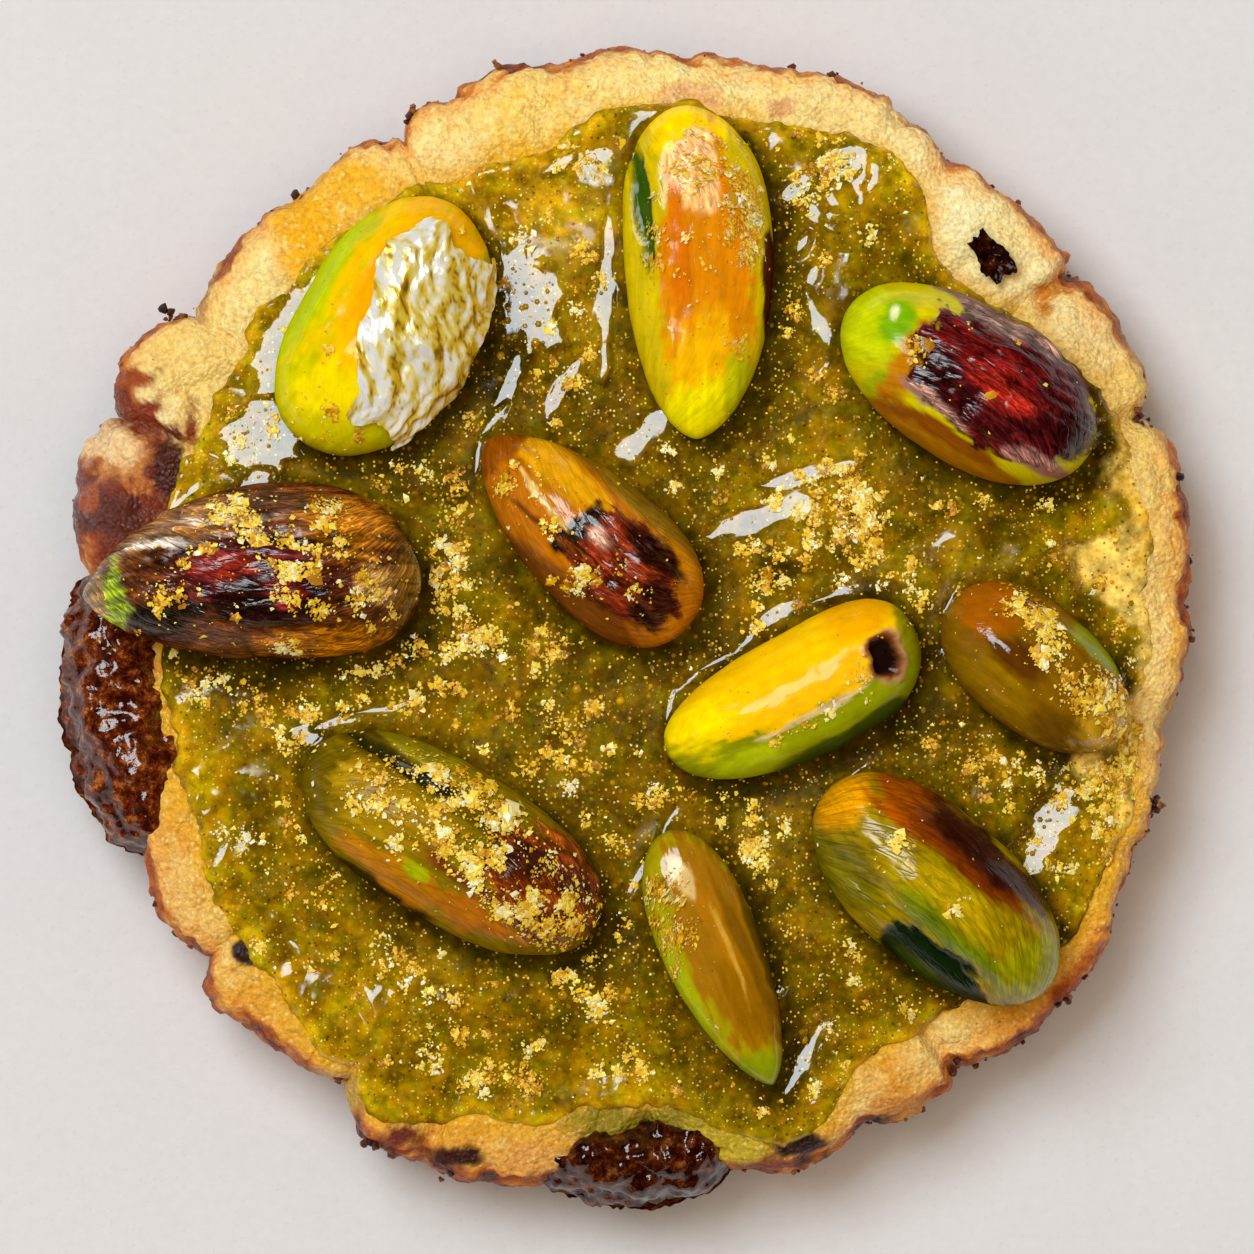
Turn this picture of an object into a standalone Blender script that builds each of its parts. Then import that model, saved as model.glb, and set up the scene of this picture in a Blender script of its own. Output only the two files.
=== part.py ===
"""A pistachio cookie: a crumbly dough round, a pistachio paste on it, whole kernels, gold leaf and chocolate.

The cookie lies flat on z = 0 with its middle at the origin. Angles run from +X towards +Y.
"""
import math
from collections import namedtuple

import bmesh
import bpy
from mathutils import Vector, noise

MM = 0.001
GAP = 0.3 * MM                  # left between two pieces that lie against each other

# The dough round
DOUGH_TOP = 10.2 * MM           # height of the bed that carries the paste
DOUGH_STEPS = 110               # facets round the rim
BED_REACH = 23.0 * MM           # inside this the bed is flat
LOBE_DROP = 1.0 * MM            # how far a lobe has fallen back at its half width
CRACK_WIDTH = 0.40 * MM         # two lobes that stand out alike within this are parted by a crack
CRACK_CUT = 0.55 * MM           # how deep that crack is cut into the side
CRACK_DIP = 0.9 * MM            # and into the top
DOUGH_RELIEF = 0.32 * MM        # height of the crags in the crumb
CRAG_SIZE = 2.6 * MM

# One row for each rim lobe: its angle, how far it stands out, its half width, its rise over the bed.
LOBES = (
    (87, 35.3, 14, 0.9), (66, 36.25, 9.5, 0.6), (46, 35.65, 10, 0.8), (31, 35.8, 8.5, 1.0),
    (14, 35.35, 10.5, 0.8), (1, 34.6, 10, 0.6), (341, 34.35, 9, 0.5), (322, 35.5, 12, 0.4),
    (302, 34.7, 6, 1.0), (288, 34.7, 7, 0.8), (255, 35.1, 8, 0.7), (246, 35.3, 4.5, 0.5),
    (233, 33.1, 10, 0.9), (224, 33.8, 5, 0.6), (213, 33.05, 9, 0.9), (188, 29.6, 14, 0.3),
    (164, 34.65, 7.5, 1.4), (152.5, 34.5, 6, 0.9), (134, 33.4, 10, 1.1), (121, 33.55, 7, 0.8),
    (110.5, 34.1, 3, 0.6), (101, 34.8, 7.5, 0.9),
)

# The dough's section from its foot up: height, and how far it lies inside the lobe's reach.
SIDE = ((0.0, 1.9), (0.8, 0.8), (2.4, 0.2), (4.8, 0.0), (7.3, 0.25), (9.0, 0.85))
# The top of the rim, from outside in: how far inside the reach, and the share of the lobe's rise.
CROWN = ((1.6, -0.3), (2.6, 0.55), (4.6, 1.0), (7.4, 0.35))

# The paste
PASTE_TOP = 12.3 * MM           # over the middle of the bed
PASTE_EDGE = 0.80 * MM          # how much the edge stands over the dough
PASTE_BED = 0.12 * MM           # what its underside keeps over the gap where the crumb is uneven
EDGE_INSET = 1.9 * MM           # the paste keeps at least this far inside the rim
PASTE_STEPS = 66
PASTE_RELIEF = 0.38 * MM        # height of the swirls
SWIRL_SIZE = 6.0 * MM
PASTE_RINGS = (1.0, 0.96, 0.88, 0.77, 0.64, 0.49, 0.31)
PASTE_UNDER = (0.76, 0.85, 0.93, 1.0)
# How far the paste has spread from the middle, read every 12 degrees from +X.
SPREAD = (32.3, 33.2, 32.6, 31.2, 29.3, 33.9, 32.0, 32.4, 30.4, 29.2, 29.4, 29.5, 29.3, 28.3, 28.7,
          29.0, 28.2, 28.7, 29.6, 30.9, 33.0, 32.2, 30.2, 29.9, 33.1, 31.2, 31.0, 32.7, 33.4, 32.5)

# A kernel. Its tip points along heading; widest is where it is broadest, from -1 at its tail to 1 at
# its tip. A fullness over 2 is a blunter end and a point over 0.5 a sharper one. bow shifts its middle
# to the left of heading. flat is the height of a split kernel's face, groove the depth of its furrow.
Kernel = namedtuple(
    "Kernel",
    "name x y heading length width thick widest tail_full tip_full tail_point tip_point bow"
    " flat groove furrow lift tilt gold colour")
KERNELS = (
    Kernel("kernel_leaf", -14.8, 18.5, 58, 17.2, 10.9, 7.6, 0.10, 2.6, 2.2, 0.50, 0.55, -0.55,
           0.0, 0.3, 2.2, 0.0, 0, 0, "#B9BF18"),
    Kernel("kernel_split", 4.2, 21.7, -88, 20.4, 9.1, 6.4, -0.25, 2.3, 2.4, 0.55, 0.60, 0.5,
           3.0, 0.5, -3.2, 0.0, 1, 3, "#C8870F"),
    Kernel("kernel_red", 21.1, 15.0, -31, 17.2, 9.6, 8.4, 0.10, 2.3, 2.3, 0.50, 0.50, -0.1,
           0.0, 0.0, 0.0, 0.0, 0, 0, "#5A1420"),
    Kernel("kernel_west", -22.6, 2.5, 183, 20.7, 10.8, 8.6, -0.20, 2.5, 2.0, 0.50, 0.70, -0.9,
           0.0, 0.0, 0.0, 0.6, 1, 5, "#3F2413"),
    Kernel("kernel_amber", -2.2, 5.7, 137, 16.8, 8.4, 7.2, -0.30, 2.4, 2.0, 0.50, 0.62, 0.0,
           0.0, 0.3, 1.6, 0.0, 2, 1, "#9A5A0C"),
    Kernel("kernel_bean", 10.3, -3.9, 27, 16.9, 7.7, 6.6, 0.25, 2.6, 2.8, 0.50, 0.48, -0.5,
           0.0, 0.3, -2.0, 0.0, 0, 0, "#E3A80E"),
    Kernel("kernel_east", 25.2, -2.5, -40, 13.1, 7.8, 6.8, -0.10, 2.4, 2.4, 0.50, 0.52, 0.0,
           0.0, 0.3, 1.2, 0.0, 0, 3, "#8A6410"),
    Kernel("kernel_gilded", -10.4, -13.1, -31, 20.4, 9.5, 8.0, 0.0, 2.6, 2.6, 0.50, 0.50, -0.1,
           0.0, 0.9, 2.2, 0.0, 0, 5, "#6F6A12"),
    Kernel("kernel_slim", 5.9, -20.2, -67, 16.8, 6.1, 5.6, -0.25, 2.2, 2.2, 0.50, 0.70, -0.15,
           2.4, 0.0, 0.0, 0.0, 0, 2, "#8C6512"),
    Kernel("kernel_green", 19.2, -16.0, -42, 18.1, 9.6, 8.2, 0.05, 2.5, 2.3, 0.50, 0.52, -0.1,
           0.0, 0.8, -2.6, 0.0, 0, 0, "#5C7A14"),
)
KERNEL_RINGS = 13
KERNEL_SIDES = 12
KERNEL_REST = 0.45 * MM         # how far its underside lies over the bed
KERNEL_BELOW = 0.42             # the share of its thickness that lies below its broadest level
KERNEL_FOOT = 0.86              # the share of that which is left where its underside is pressed flat
END_TAPER = 0.85                # how the height follows the width towards the ends
FURROW_WIDTH = 0.9 * MM
KERNEL_RELIEF = 0.14 * MM
WRINKLE_SIZE = 3.0 * MM

# The gold leaf on the first kernel, in that kernel's own lengthwise share and round-angle
LEAF_ALONG = (-0.62, 0.80)
LEAF_ROUND = (70, 158)
LEAF_STEPS = (9, 7)
LEAF_THICK = 0.22 * MM
LEAF_CRUMPLE = 0.22 * MM
LEAF_RAGGED = 0.10              # how much its short edges wander, as a share of the length

# Flakes of gold that lie in the paste: the middle of each cluster, its spread, and how many.
GOLD_CLUSTERS = ((13.4, 7.9, 2.4, 5), (-8.2, -0.8, 1.8, 3), (29.2, -10.0, 1.9, 4), (7.4, -11.4, 1.6, 2),
                 (-2.0, -23.0, 1.7, 3), (-5.7, -26.7, 1.8, 3), (-13.7, -20.8, 1.7, 2), (-1.4, -4.9, 2.2, 2))
FLAKE_REACH = (0.42 * MM, 0.85 * MM)
FLAKE_THICK = 0.5 * MM
FLAKE_SIDES = 5
GOLDEN_TURN = 137.508           # degrees from one flake of a cluster to the next

# Melted chocolate in the rim: name, first and last angle, inner and outer reach, top and foot.
CHOCOLATES = (
    ("chocolate_west", 173.0, 206.5, 27.4, 34.6, 11.0, 0.6),
    ("chocolate_south", 260.5, 282.0, 29.6, 35.3, 11.2, 0.6),
)
CHOCOLATE_STEPS = (15, 10)
CHOCOLATE_RELIEF = 1.5 * MM
CHOCOLATE_KNOB = 3.2 * MM

# A dark flake that lies on the rim
SHARD_PLACE = (22.7 * MM, 22.6 * MM)
SHARD_SIZE = (2.3 * MM, 1.7 * MM)
SHARD_HEADING = -35
SHARD_THICK = 0.45 * MM
SHARD_STEPS = 5


def turned(angle, centre):
    """The angle as seen from centre, from -180 to 180 degrees."""
    return (angle - centre + 180.0) % 360.0 - 180.0


def polar(angle, radius, height):
    return Vector((radius * math.cos(math.radians(angle)), radius * math.sin(math.radians(angle)), height))


def rough(point, size, seed=0.0):
    """Smooth bumps of one size, from about -1 to 1."""
    return noise.noise(Vector(point) / size + Vector((seed, seed * 1.7, seed * 2.3)))


def linear(hex_colour):
    """An sRGB hex colour as linear RGBA."""
    parts = [int(hex_colour[i:i + 2], 16) / 255 for i in (1, 3, 5)]
    return [c / 12.92 if c <= 0.04045 else ((c + 0.055) / 1.055) ** 2.4 for c in parts] + [1.0]


def finish(name, hex_colour, roughness, metallic=0.0):
    material = bpy.data.materials.new(name)
    material.use_nodes = True
    shader = material.node_tree.nodes["Principled BSDF"]
    shader.inputs["Base Color"].default_value = linear(hex_colour)
    shader.inputs["Roughness"].default_value = roughness
    shader.inputs["Metallic"].default_value = metallic
    return material


def closed_object(name, rings, material, tail=None, tip=None):
    """One solid lofted through closed rings of points, each end shut by a fan to a point or by a face."""
    mesh = bpy.data.meshes.new(name)
    bm = bmesh.new()
    loops = [[bm.verts.new(p) for p in ring] for ring in rings]
    for low, high in zip(loops, loops[1:]):
        for i in range(len(low)):
            j = (i + 1) % len(low)
            bm.faces.new((low[i], low[j], high[j], high[i]))
    for loop, end, flip in ((loops[0], tail, True), (loops[-1], tip, False)):
        ordered = loop[::-1] if flip else loop
        if end is None:
            bm.faces.new(ordered)
            continue
        middle = bm.verts.new(end)
        for i in range(len(ordered)):
            bm.faces.new((ordered[i], ordered[(i + 1) % len(ordered)], middle))
    bmesh.ops.triangulate(bm, faces=bm.faces[:])
    bmesh.ops.recalc_face_normals(bm, faces=bm.faces[:])
    bm.to_mesh(mesh)
    bm.free()
    mesh.materials.append(material)
    mesh.shade_smooth()
    mesh.set_sharp_from_angle(angle=math.radians(50))
    made = bpy.data.objects.new(name, mesh)
    bpy.context.collection.objects.link(made)
    return made


def sheet_object(name, under, over, material):
    """One thin solid between two grids of points, both split into triangles alike."""
    rows, columns = len(under), len(under[0])
    mesh = bpy.data.meshes.new(name)
    bm = bmesh.new()
    low = [[bm.verts.new(p) for p in row] for row in under]
    high = [[bm.verts.new(p) for p in row] for row in over]
    for i in range(rows - 1):
        for j in range(columns - 1):
            for grid, order in ((high, 1), (low, -1)):
                a, b, c, d = grid[i][j], grid[i + 1][j], grid[i + 1][j + 1], grid[i][j + 1]
                bm.faces.new((a, b, c)[::order])
                bm.faces.new((a, c, d)[::order])
    border = [(i, 0) for i in range(rows)] + [(rows - 1, j) for j in range(1, columns)]
    border += [(i, columns - 1) for i in range(rows - 2, -1, -1)] + [(0, j) for j in range(columns - 2, 0, -1)]
    for (i, j), (k, l) in zip(border, border[1:] + border[:1]):
        bm.faces.new((low[i][j], low[k][l], high[k][l]))
        bm.faces.new((low[i][j], high[k][l], high[i][j]))
    bmesh.ops.recalc_face_normals(bm, faces=bm.faces[:])
    bm.to_mesh(mesh)
    bm.free()
    mesh.materials.append(material)
    mesh.shade_smooth()
    made = bpy.data.objects.new(name, mesh)
    bpy.context.collection.objects.link(made)
    return made


def as_cutter(made):
    made.display_type = "WIRE"
    made.hide_render = True
    return made


def boolean(target, operation, operand):
    """Adds a Boolean by one object, or by a collection of them."""
    step = target.modifiers.new(operation.lower(), "BOOLEAN")
    step.operation = operation
    step.solver = "EXACT"
    if isinstance(operand, bpy.types.Collection):
        step.operand_type = "COLLECTION"
        step.collection = operand
    else:
        step.object = operand
    return step


def apply_modifiers(target):
    """Turns the object's mesh into what its modifiers make of it."""
    bpy.context.view_layer.update()
    seen = target.evaluated_get(bpy.context.evaluated_depsgraph_get())
    mesh = bpy.data.meshes.new_from_object(seen)
    target.modifiers.clear()
    target.data = mesh


def drop_scraps(target):
    """Applies the cuts, and removes any loose scrap that they left beside the main body."""
    apply_modifiers(target)
    bm = bmesh.new()
    bm.from_mesh(target.data)
    left = set(bm.verts)
    bodies = []
    while left:
        body, edge_of_search = set(), [left.pop()]
        while edge_of_search:
            vert = edge_of_search.pop()
            body.add(vert)
            for edge in vert.link_edges:
                other = edge.other_vert(vert)
                if other in left:
                    left.remove(other)
                    edge_of_search.append(other)
        bodies.append(body)
    main = max(bodies, key=len)
    bmesh.ops.delete(bm, geom=[v for v in bm.verts if v not in main], context="VERTS")
    bm.to_mesh(target.data)
    bm.free()


# ---- dough ------------------------------------------------------------------------------------------

def rim(angle):
    """The dough's reach at an angle, the rise of its lobe, and how much of a crack is there."""
    found = []
    for centre, reach, half_width, rise in LOBES:
        found.append((reach * MM - LOBE_DROP * (turned(angle, centre) / half_width) ** 2, rise * MM))
    found.sort(reverse=True)
    (reach, rise), (second, second_rise) = found[:2]
    crack = math.exp(-((reach - second) / CRACK_WIDTH) ** 2)
    blend = 0.5 * crack
    return reach - CRACK_CUT * crack, rise * (1 - blend) + second_rise * blend, crack


def dough_height(angle, radius):
    """The height of the dough's top at an angle and a radius."""
    reach, rise, crack = rim(angle)
    inset = reach - radius
    steps = [(depth * MM, share) for depth, share in CROWN] + [(reach - BED_REACH, 0.0)]
    share = steps[0][1]
    for (outer, before), (inner, after) in zip(steps, steps[1:]):
        if inset >= inner:
            share = after
        elif inset > outer:
            share = before + (after - before) * (inset - outer) / (inner - outer)
    near_rim = max(0.0, min(1.0, (radius - BED_REACH) / (6.0 * MM)))
    height = DOUGH_TOP + rise * share - CRACK_DIP * crack * near_rim
    return height + DOUGH_RELIEF * near_rim * rough(polar(angle, radius, 0), CRAG_SIZE)


def make_dough(material):
    angles = [360.0 * i / DOUGH_STEPS for i in range(DOUGH_STEPS)]
    rings = []
    for height, inset in SIDE:
        ring = []
        for angle in angles:
            reach = rim(angle)[0]
            point = polar(angle, reach - inset * MM, height * MM)
            crags = DOUGH_RELIEF * rough(point, CRAG_SIZE, seed=5.0)
            ring.append(polar(angle, reach - inset * MM + crags, height * MM))
        rings.append(ring)
    for inset, _ in CROWN:
        ring = []
        for angle in angles:
            radius = rim(angle)[0] - inset * MM
            ring.append(polar(angle, radius, dough_height(angle, radius)))
        rings.append(ring)
    rings.append([polar(angle, BED_REACH, DOUGH_TOP) for angle in angles])
    return closed_object("cookie_dough", rings, material, Vector((0, 0, 0)), Vector((0, 0, DOUGH_TOP)))


# ---- kernels ----------------------------------------------------------------------------------------

def kernel_point(k, along, turn, grow=0.0):
    """A point of a kernel's skin: along it from -1 to 1, and turn degrees round it, 90 being its top."""
    if along > k.widest:
        share = (1 - ((along - k.widest) / (1 - k.widest)) ** k.tip_full) ** k.tip_point
    else:
        share = (1 - ((k.widest - along) / (1 + k.widest)) ** k.tail_full) ** k.tail_point
    below = KERNEL_BELOW * k.thick * MM
    above = k.thick * MM - below
    across = math.cos(math.radians(turn))
    up = math.sin(math.radians(turn))
    side = k.bow * MM * (1 - along ** 2) + (k.width * MM / 2 * share + grow * min(1, share * 4)) * across
    tall = share ** END_TAPER
    if up > 0:
        height = (above * tall + grow * min(1, share * 4)) * up
        if k.flat:
            height = k.flat * MM * math.tanh(height / (k.flat * MM))
        furrow = math.exp(-((side - k.furrow * MM) / FURROW_WIDTH) ** 2)
        height -= k.groove * MM * furrow * tall * up
    else:
        height = (below * tall + grow * min(1, share * 4)) * up
        height = max(height, -below * KERNEL_FOOT - grow)
    wrinkle = KERNEL_RELIEF * rough((along * k.length * MM * 0.4, side, height), WRINKLE_SIZE, k.x) * share
    height += wrinkle * up
    side += wrinkle * across
    length = along * (k.length * MM / 2 + grow)
    tilt = math.radians(-k.tilt)
    length, height = (length * math.cos(tilt) - height * math.sin(tilt),
                      length * math.sin(tilt) + height * math.cos(tilt))
    heading = math.radians(k.heading)
    rest = DOUGH_TOP + KERNEL_REST + below * KERNEL_FOOT + k.lift * MM
    return Vector((k.x * MM + length * math.cos(heading) - side * math.sin(heading),
                   k.y * MM + length * math.sin(heading) + side * math.cos(heading),
                   rest + height))


def make_kernel(k, name, material, grow=0.0):
    turns = [360.0 * i / KERNEL_SIDES for i in range(KERNEL_SIDES)]
    rings = []
    for i in range(1, KERNEL_RINGS + 1):
        along = -math.cos(math.pi * i / (KERNEL_RINGS + 1))
        rings.append([kernel_point(k, along, turn, grow) for turn in turns])
    return closed_object(name, rings, material, kernel_point(k, -1, 0, grow), kernel_point(k, 1, 0, grow))


# ---- gold -------------------------------------------------------------------------------------------

def flake(name, place, normal, reach, spin, material):
    """A small crumpled plate of gold, half sunk in what it lies on."""
    side = normal.orthogonal().normalized()
    other = normal.cross(side)
    rings = []
    for level, size in ((-0.5, 0.9), (0.5, 1.0)):
        ring = []
        for i in range(FLAKE_SIDES):
            turn = math.radians(spin + 360.0 * i / FLAKE_SIDES)
            far = reach * size * (1.0 + 0.35 * math.sin(spin + 2.3 * i))
            lift = level * FLAKE_THICK * (1.0 + 0.4 * math.sin(spin * 1.3 + 1.9 * i))
            ring.append(place + side * far * math.cos(turn) + other * far * math.sin(turn) + normal * lift)
        rings.append(ring)
    tail = place - normal * FLAKE_THICK * 0.5
    return closed_object(name, rings, material, tail, place + normal * FLAKE_THICK * 0.62)


def fuse_flakes(target, flakes):
    """One union of the flakes into what they lie on."""
    group = bpy.data.collections.new(target.name + "_gold")
    for made in flakes:
        bpy.context.collection.objects.unlink(made)
        group.objects.link(made)
    bpy.context.scene.collection.children.link(group)
    boolean(target, "UNION", group)
    apply_modifiers(target)
    for made in flakes:
        bpy.data.objects.remove(made)
    bpy.data.collections.remove(group)


def flake_reach(index):
    share = (index * 0.618034) % 1.0
    return FLAKE_REACH[0] + (FLAKE_REACH[1] - FLAKE_REACH[0]) * share


def gild_kernel(k, made, material):
    flakes = []
    for i in range(k.gold):
        along = -0.55 + 1.15 * ((i * 0.618034 + 0.2) % 1.0)
        turn = 60.0 + 70.0 * ((i * 0.7548 + 0.35) % 1.0)
        place = kernel_point(k, along, turn)
        ahead = kernel_point(k, along + 0.02, turn) - place
        around = kernel_point(k, along, turn + 2.0) - place
        normal = ahead.cross(around).normalized()
        if normal.z < 0:
            normal.negate()
        flakes.append(flake(f"{k.name}_flake_{i}", place, normal, flake_reach(i), GOLDEN_TURN * i, material))
    fuse_flakes(made, flakes)


def make_leaf(k, material):
    """A crumpled leaf of gold that follows one side of a kernel."""
    rows, columns = LEAF_STEPS
    under, over = [], []
    for i in range(rows + 1):
        low_row, high_row = [], []
        for j in range(columns + 1):
            turn = LEAF_ROUND[0] + (LEAF_ROUND[1] - LEAF_ROUND[0]) * j / columns
            ragged = LEAF_RAGGED * math.sin(j * 1.7) * (2.0 * i / rows - 1.0)
            along = LEAF_ALONG[0] + (LEAF_ALONG[1] - LEAF_ALONG[0]) * i / rows + ragged
            turn += 5.0 * math.sin(i * 2.1) * (1.0 - 2.0 * j / columns)
            crumple = LEAF_CRUMPLE * (0.5 + 0.5 * math.sin(i * 2.4 + j * 1.3) * math.cos(j * 2.2))
            low_row.append(kernel_point(k, along, turn, GAP + crumple))
            high_row.append(kernel_point(k, along, turn, GAP + crumple + LEAF_THICK))
        under.append(low_row)
        over.append(high_row)
    return sheet_object("gold_leaf", under, over, material)


# ---- paste ------------------------------------------------------------------------------------------

def paste_reach(angle):
    """The paste's reach at an angle, on a smooth curve through the readings."""
    step = 360.0 / len(SPREAD)
    index, share = divmod(angle / step, 1.0)
    a, b, c, d = (SPREAD[(int(index) + n) % len(SPREAD)] for n in (-1, 0, 1, 2))
    smooth = b + 0.5 * share * (c - a + share * (2 * a - 5 * b + 4 * c - d + share * (3 * (b - c) + d - a)))
    return min(smooth * MM, rim(angle)[0] - EDGE_INSET)


def paste_floor(angle, radius):
    """The level that the paste's underside follows: it bridges the cracks and the dips in the crumb."""
    around = [dough_height(angle + turn, radius + step * MM) for turn in (-2.5, 0, 2.5) for step in (-0.8, 0, 0.8)]
    return max(around + [DOUGH_TOP])


def paste_height(angle, radius):
    reach = paste_reach(angle)
    edge = paste_floor(angle, reach) + PASTE_EDGE
    inward = max(0.0, min(1.0, (reach - radius) / (9.0 * MM)))
    inward = inward * inward * (3.0 - 2.0 * inward)
    swirl = PASTE_RELIEF * rough(polar(angle, radius, 0), SWIRL_SIZE, seed=9.0) * inward
    level = edge + (PASTE_TOP - edge) * inward + swirl
    return max(level, paste_floor(angle, radius) + PASTE_EDGE * 0.9)


def make_paste(material):
    angles = [360.0 * i / PASTE_STEPS for i in range(PASTE_STEPS)]
    rings = []
    for share in PASTE_UNDER:
        ring = []
        for angle in angles:
            radius = paste_reach(angle) * share
            ring.append(polar(angle, radius, paste_floor(angle, radius) + GAP + PASTE_BED))
        rings.append(ring)
    for share in PASTE_RINGS:
        ring = []
        for angle in angles:
            radius = paste_reach(angle) * share
            ring.append(polar(angle, radius, paste_height(angle, radius)))
        rings.append(ring)
    bottom, top = Vector((0, 0, DOUGH_TOP + GAP + PASTE_BED)), Vector((0, 0, PASTE_TOP))
    return closed_object("pistachio_paste", rings, material, bottom, top)


def on_paste(x, y):
    """The point of the paste's top over a place, and the way it faces."""
    def top(px, py):
        angle = math.degrees(math.atan2(py, px)) % 360.0
        return Vector((px, py, paste_height(angle, math.hypot(px, py))))
    step = 0.4 * MM
    ahead = top(x + step, y) - top(x - step, y)
    aside = top(x, y + step) - top(x, y - step)
    return top(x, y), ahead.cross(aside).normalized()


def clear_of_kernels(place, reach):
    """Whether a flake at this place lies clear of every kernel."""
    for k in KERNELS:
        heading = math.radians(k.heading)
        dx, dy = place[0] - k.x * MM, place[1] - k.y * MM
        along = (dx * math.cos(heading) + dy * math.sin(heading)) / (k.length * MM / 2 + reach + 3 * GAP)
        across = (dy * math.cos(heading) - dx * math.sin(heading)) / (k.width * MM / 2 + reach + 3 * GAP)
        if along ** 2 + across ** 2 < 1.0:
            return False
    return True


def gild_paste(paste, material):
    flakes = []
    for cluster, (x, y, spread, count) in enumerate(GOLD_CLUSTERS):
        for i in range(count):
            turn = math.radians(GOLDEN_TURN * i + 40.0 * cluster)
            far = spread * MM * math.sqrt((i + 0.3) / count)
            place = (x * MM + far * math.cos(turn), y * MM + far * math.sin(turn))
            reach = flake_reach(i + cluster)
            if not clear_of_kernels(place, reach * 1.4):
                continue
            point, normal = on_paste(*place)
            spin = GOLDEN_TURN * (i + cluster)
            flakes.append(flake(f"paste_flake_{cluster}_{i}", point, normal, reach, spin, material))
    fuse_flakes(paste, flakes)


# ---- chocolate --------------------------------------------------------------------------------------

def make_chocolate(row, material, grow=0.0):
    """A knobbly run of chocolate along the rim, round in section and closing at both ends."""
    name, first, last, inner, outer, top, foot = row
    stations, sides = CHOCOLATE_STEPS
    middle, half = (first + last) / 2, (last - first) / 2
    depth, tall = (outer - inner) / 2 * MM, (top - foot) / 2 * MM
    turn_grow = math.degrees(grow / (outer * MM))
    rings = []
    for i in range(1, stations):
        share = -math.cos(math.pi * i / stations)
        full = (1 - abs(share) ** 3.5) ** 0.45
        angle = middle + (half + turn_grow) * share
        ring = []
        for j in range(sides):
            turn = 2 * math.pi * j / sides
            out, up = math.cos(turn), math.sin(turn)
            radius = (inner + outer) / 2 * MM + depth * full * out
            height = (top + foot) / 2 * MM + tall * (0.35 + 0.65 * full) * up
            knob = CHOCOLATE_RELIEF * rough(polar(angle, radius, height), CHOCOLATE_KNOB, seed=3.0)
            knob = (knob - 0.3 * CHOCOLATE_RELIEF) * full + grow
            ring.append(polar(angle, radius + knob * out, height + knob * up))
        rings.append(ring)
    centre = [(inner + outer) / 2 * MM, (top + foot) / 2 * MM]
    ends = [polar(middle + (half + turn_grow) * share, *centre) for share in (-1, 1)]
    return closed_object(name if grow == 0.0 else name + "_room", rings, material, *ends)


def make_shard(material):
    """A dark flake of chocolate that lies on the rim's crown."""
    heading = math.radians(SHARD_HEADING)
    under, over = [], []
    for i in range(SHARD_STEPS):
        low_row, high_row = [], []
        for j in range(SHARD_STEPS):
            u = (i / (SHARD_STEPS - 1) - 0.5) * SHARD_SIZE[0] * (1 + 0.2 * math.sin(1.1 * j))
            v = (j / (SHARD_STEPS - 1) - 0.5) * SHARD_SIZE[1] * (1 + 0.2 * math.sin(0.9 * i + 1))
            x = SHARD_PLACE[0] + u * math.cos(heading) - v * math.sin(heading)
            y = SHARD_PLACE[1] + u * math.sin(heading) + v * math.cos(heading)
            angle = math.degrees(math.atan2(y, x)) % 360.0
            low = dough_height(angle, math.hypot(x, y)) + 1.5 * GAP
            low_row.append(Vector((x, y, low)))
            high_row.append(Vector((x, y, low + SHARD_THICK * (1 + 0.4 * math.sin(2.1 * i + 1.3 * j)))))
        under.append(low_row)
        over.append(high_row)
    return sheet_object("chocolate_shard", under, over, material)


# ---- the cookie -------------------------------------------------------------------------------------

def make_cookie():
    for old in list(bpy.data.objects):
        bpy.data.objects.remove(old)
    crumb = finish("crumb", "#E8C987", 0.85)
    green = finish("pistachio", "#7C7A10", 0.22)
    gold = finish("gold", "#D9A520", 0.3, 1.0)
    brown = finish("chocolate", "#3A160B", 0.28)

    dough = make_dough(crumb)
    paste = make_paste(green)
    gild_paste(paste, gold)

    rooms = bpy.data.collections.new("kernel_rooms")
    bpy.context.scene.collection.children.link(rooms)
    for k in KERNELS:
        skin = finish(k.name, k.colour, 0.3)
        made = make_kernel(k, k.name, skin)
        if k.gold:
            gild_kernel(k, made, gold)
        room = as_cutter(make_kernel(k, k.name + "_room", skin, GAP))
        bpy.context.collection.objects.unlink(room)
        rooms.objects.link(room)
    make_leaf(KERNELS[0], gold)

    chocolates = []
    for row in CHOCOLATES:
        chocolates.append(make_chocolate(row, brown))
        chocolate_room = as_cutter(make_chocolate(row, brown, GAP))
        boolean(dough, "DIFFERENCE", chocolate_room)
        boolean(paste, "DIFFERENCE", chocolate_room)
    for target in (dough, paste, chocolates[0]):
        boolean(target, "DIFFERENCE", rooms)
        drop_scraps(target)
    make_shard(brown)


make_cookie()
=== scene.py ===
"""The looks of a pistachio cookie: crumbly dough, wet pistachio paste, whole kernels, gold and chocolate.

Sizes are in metres. The cookie lies on z = 0 with its middle at the origin; angles run from +X to +Y.
"""
import math
from collections import namedtuple
from itertools import product

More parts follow.
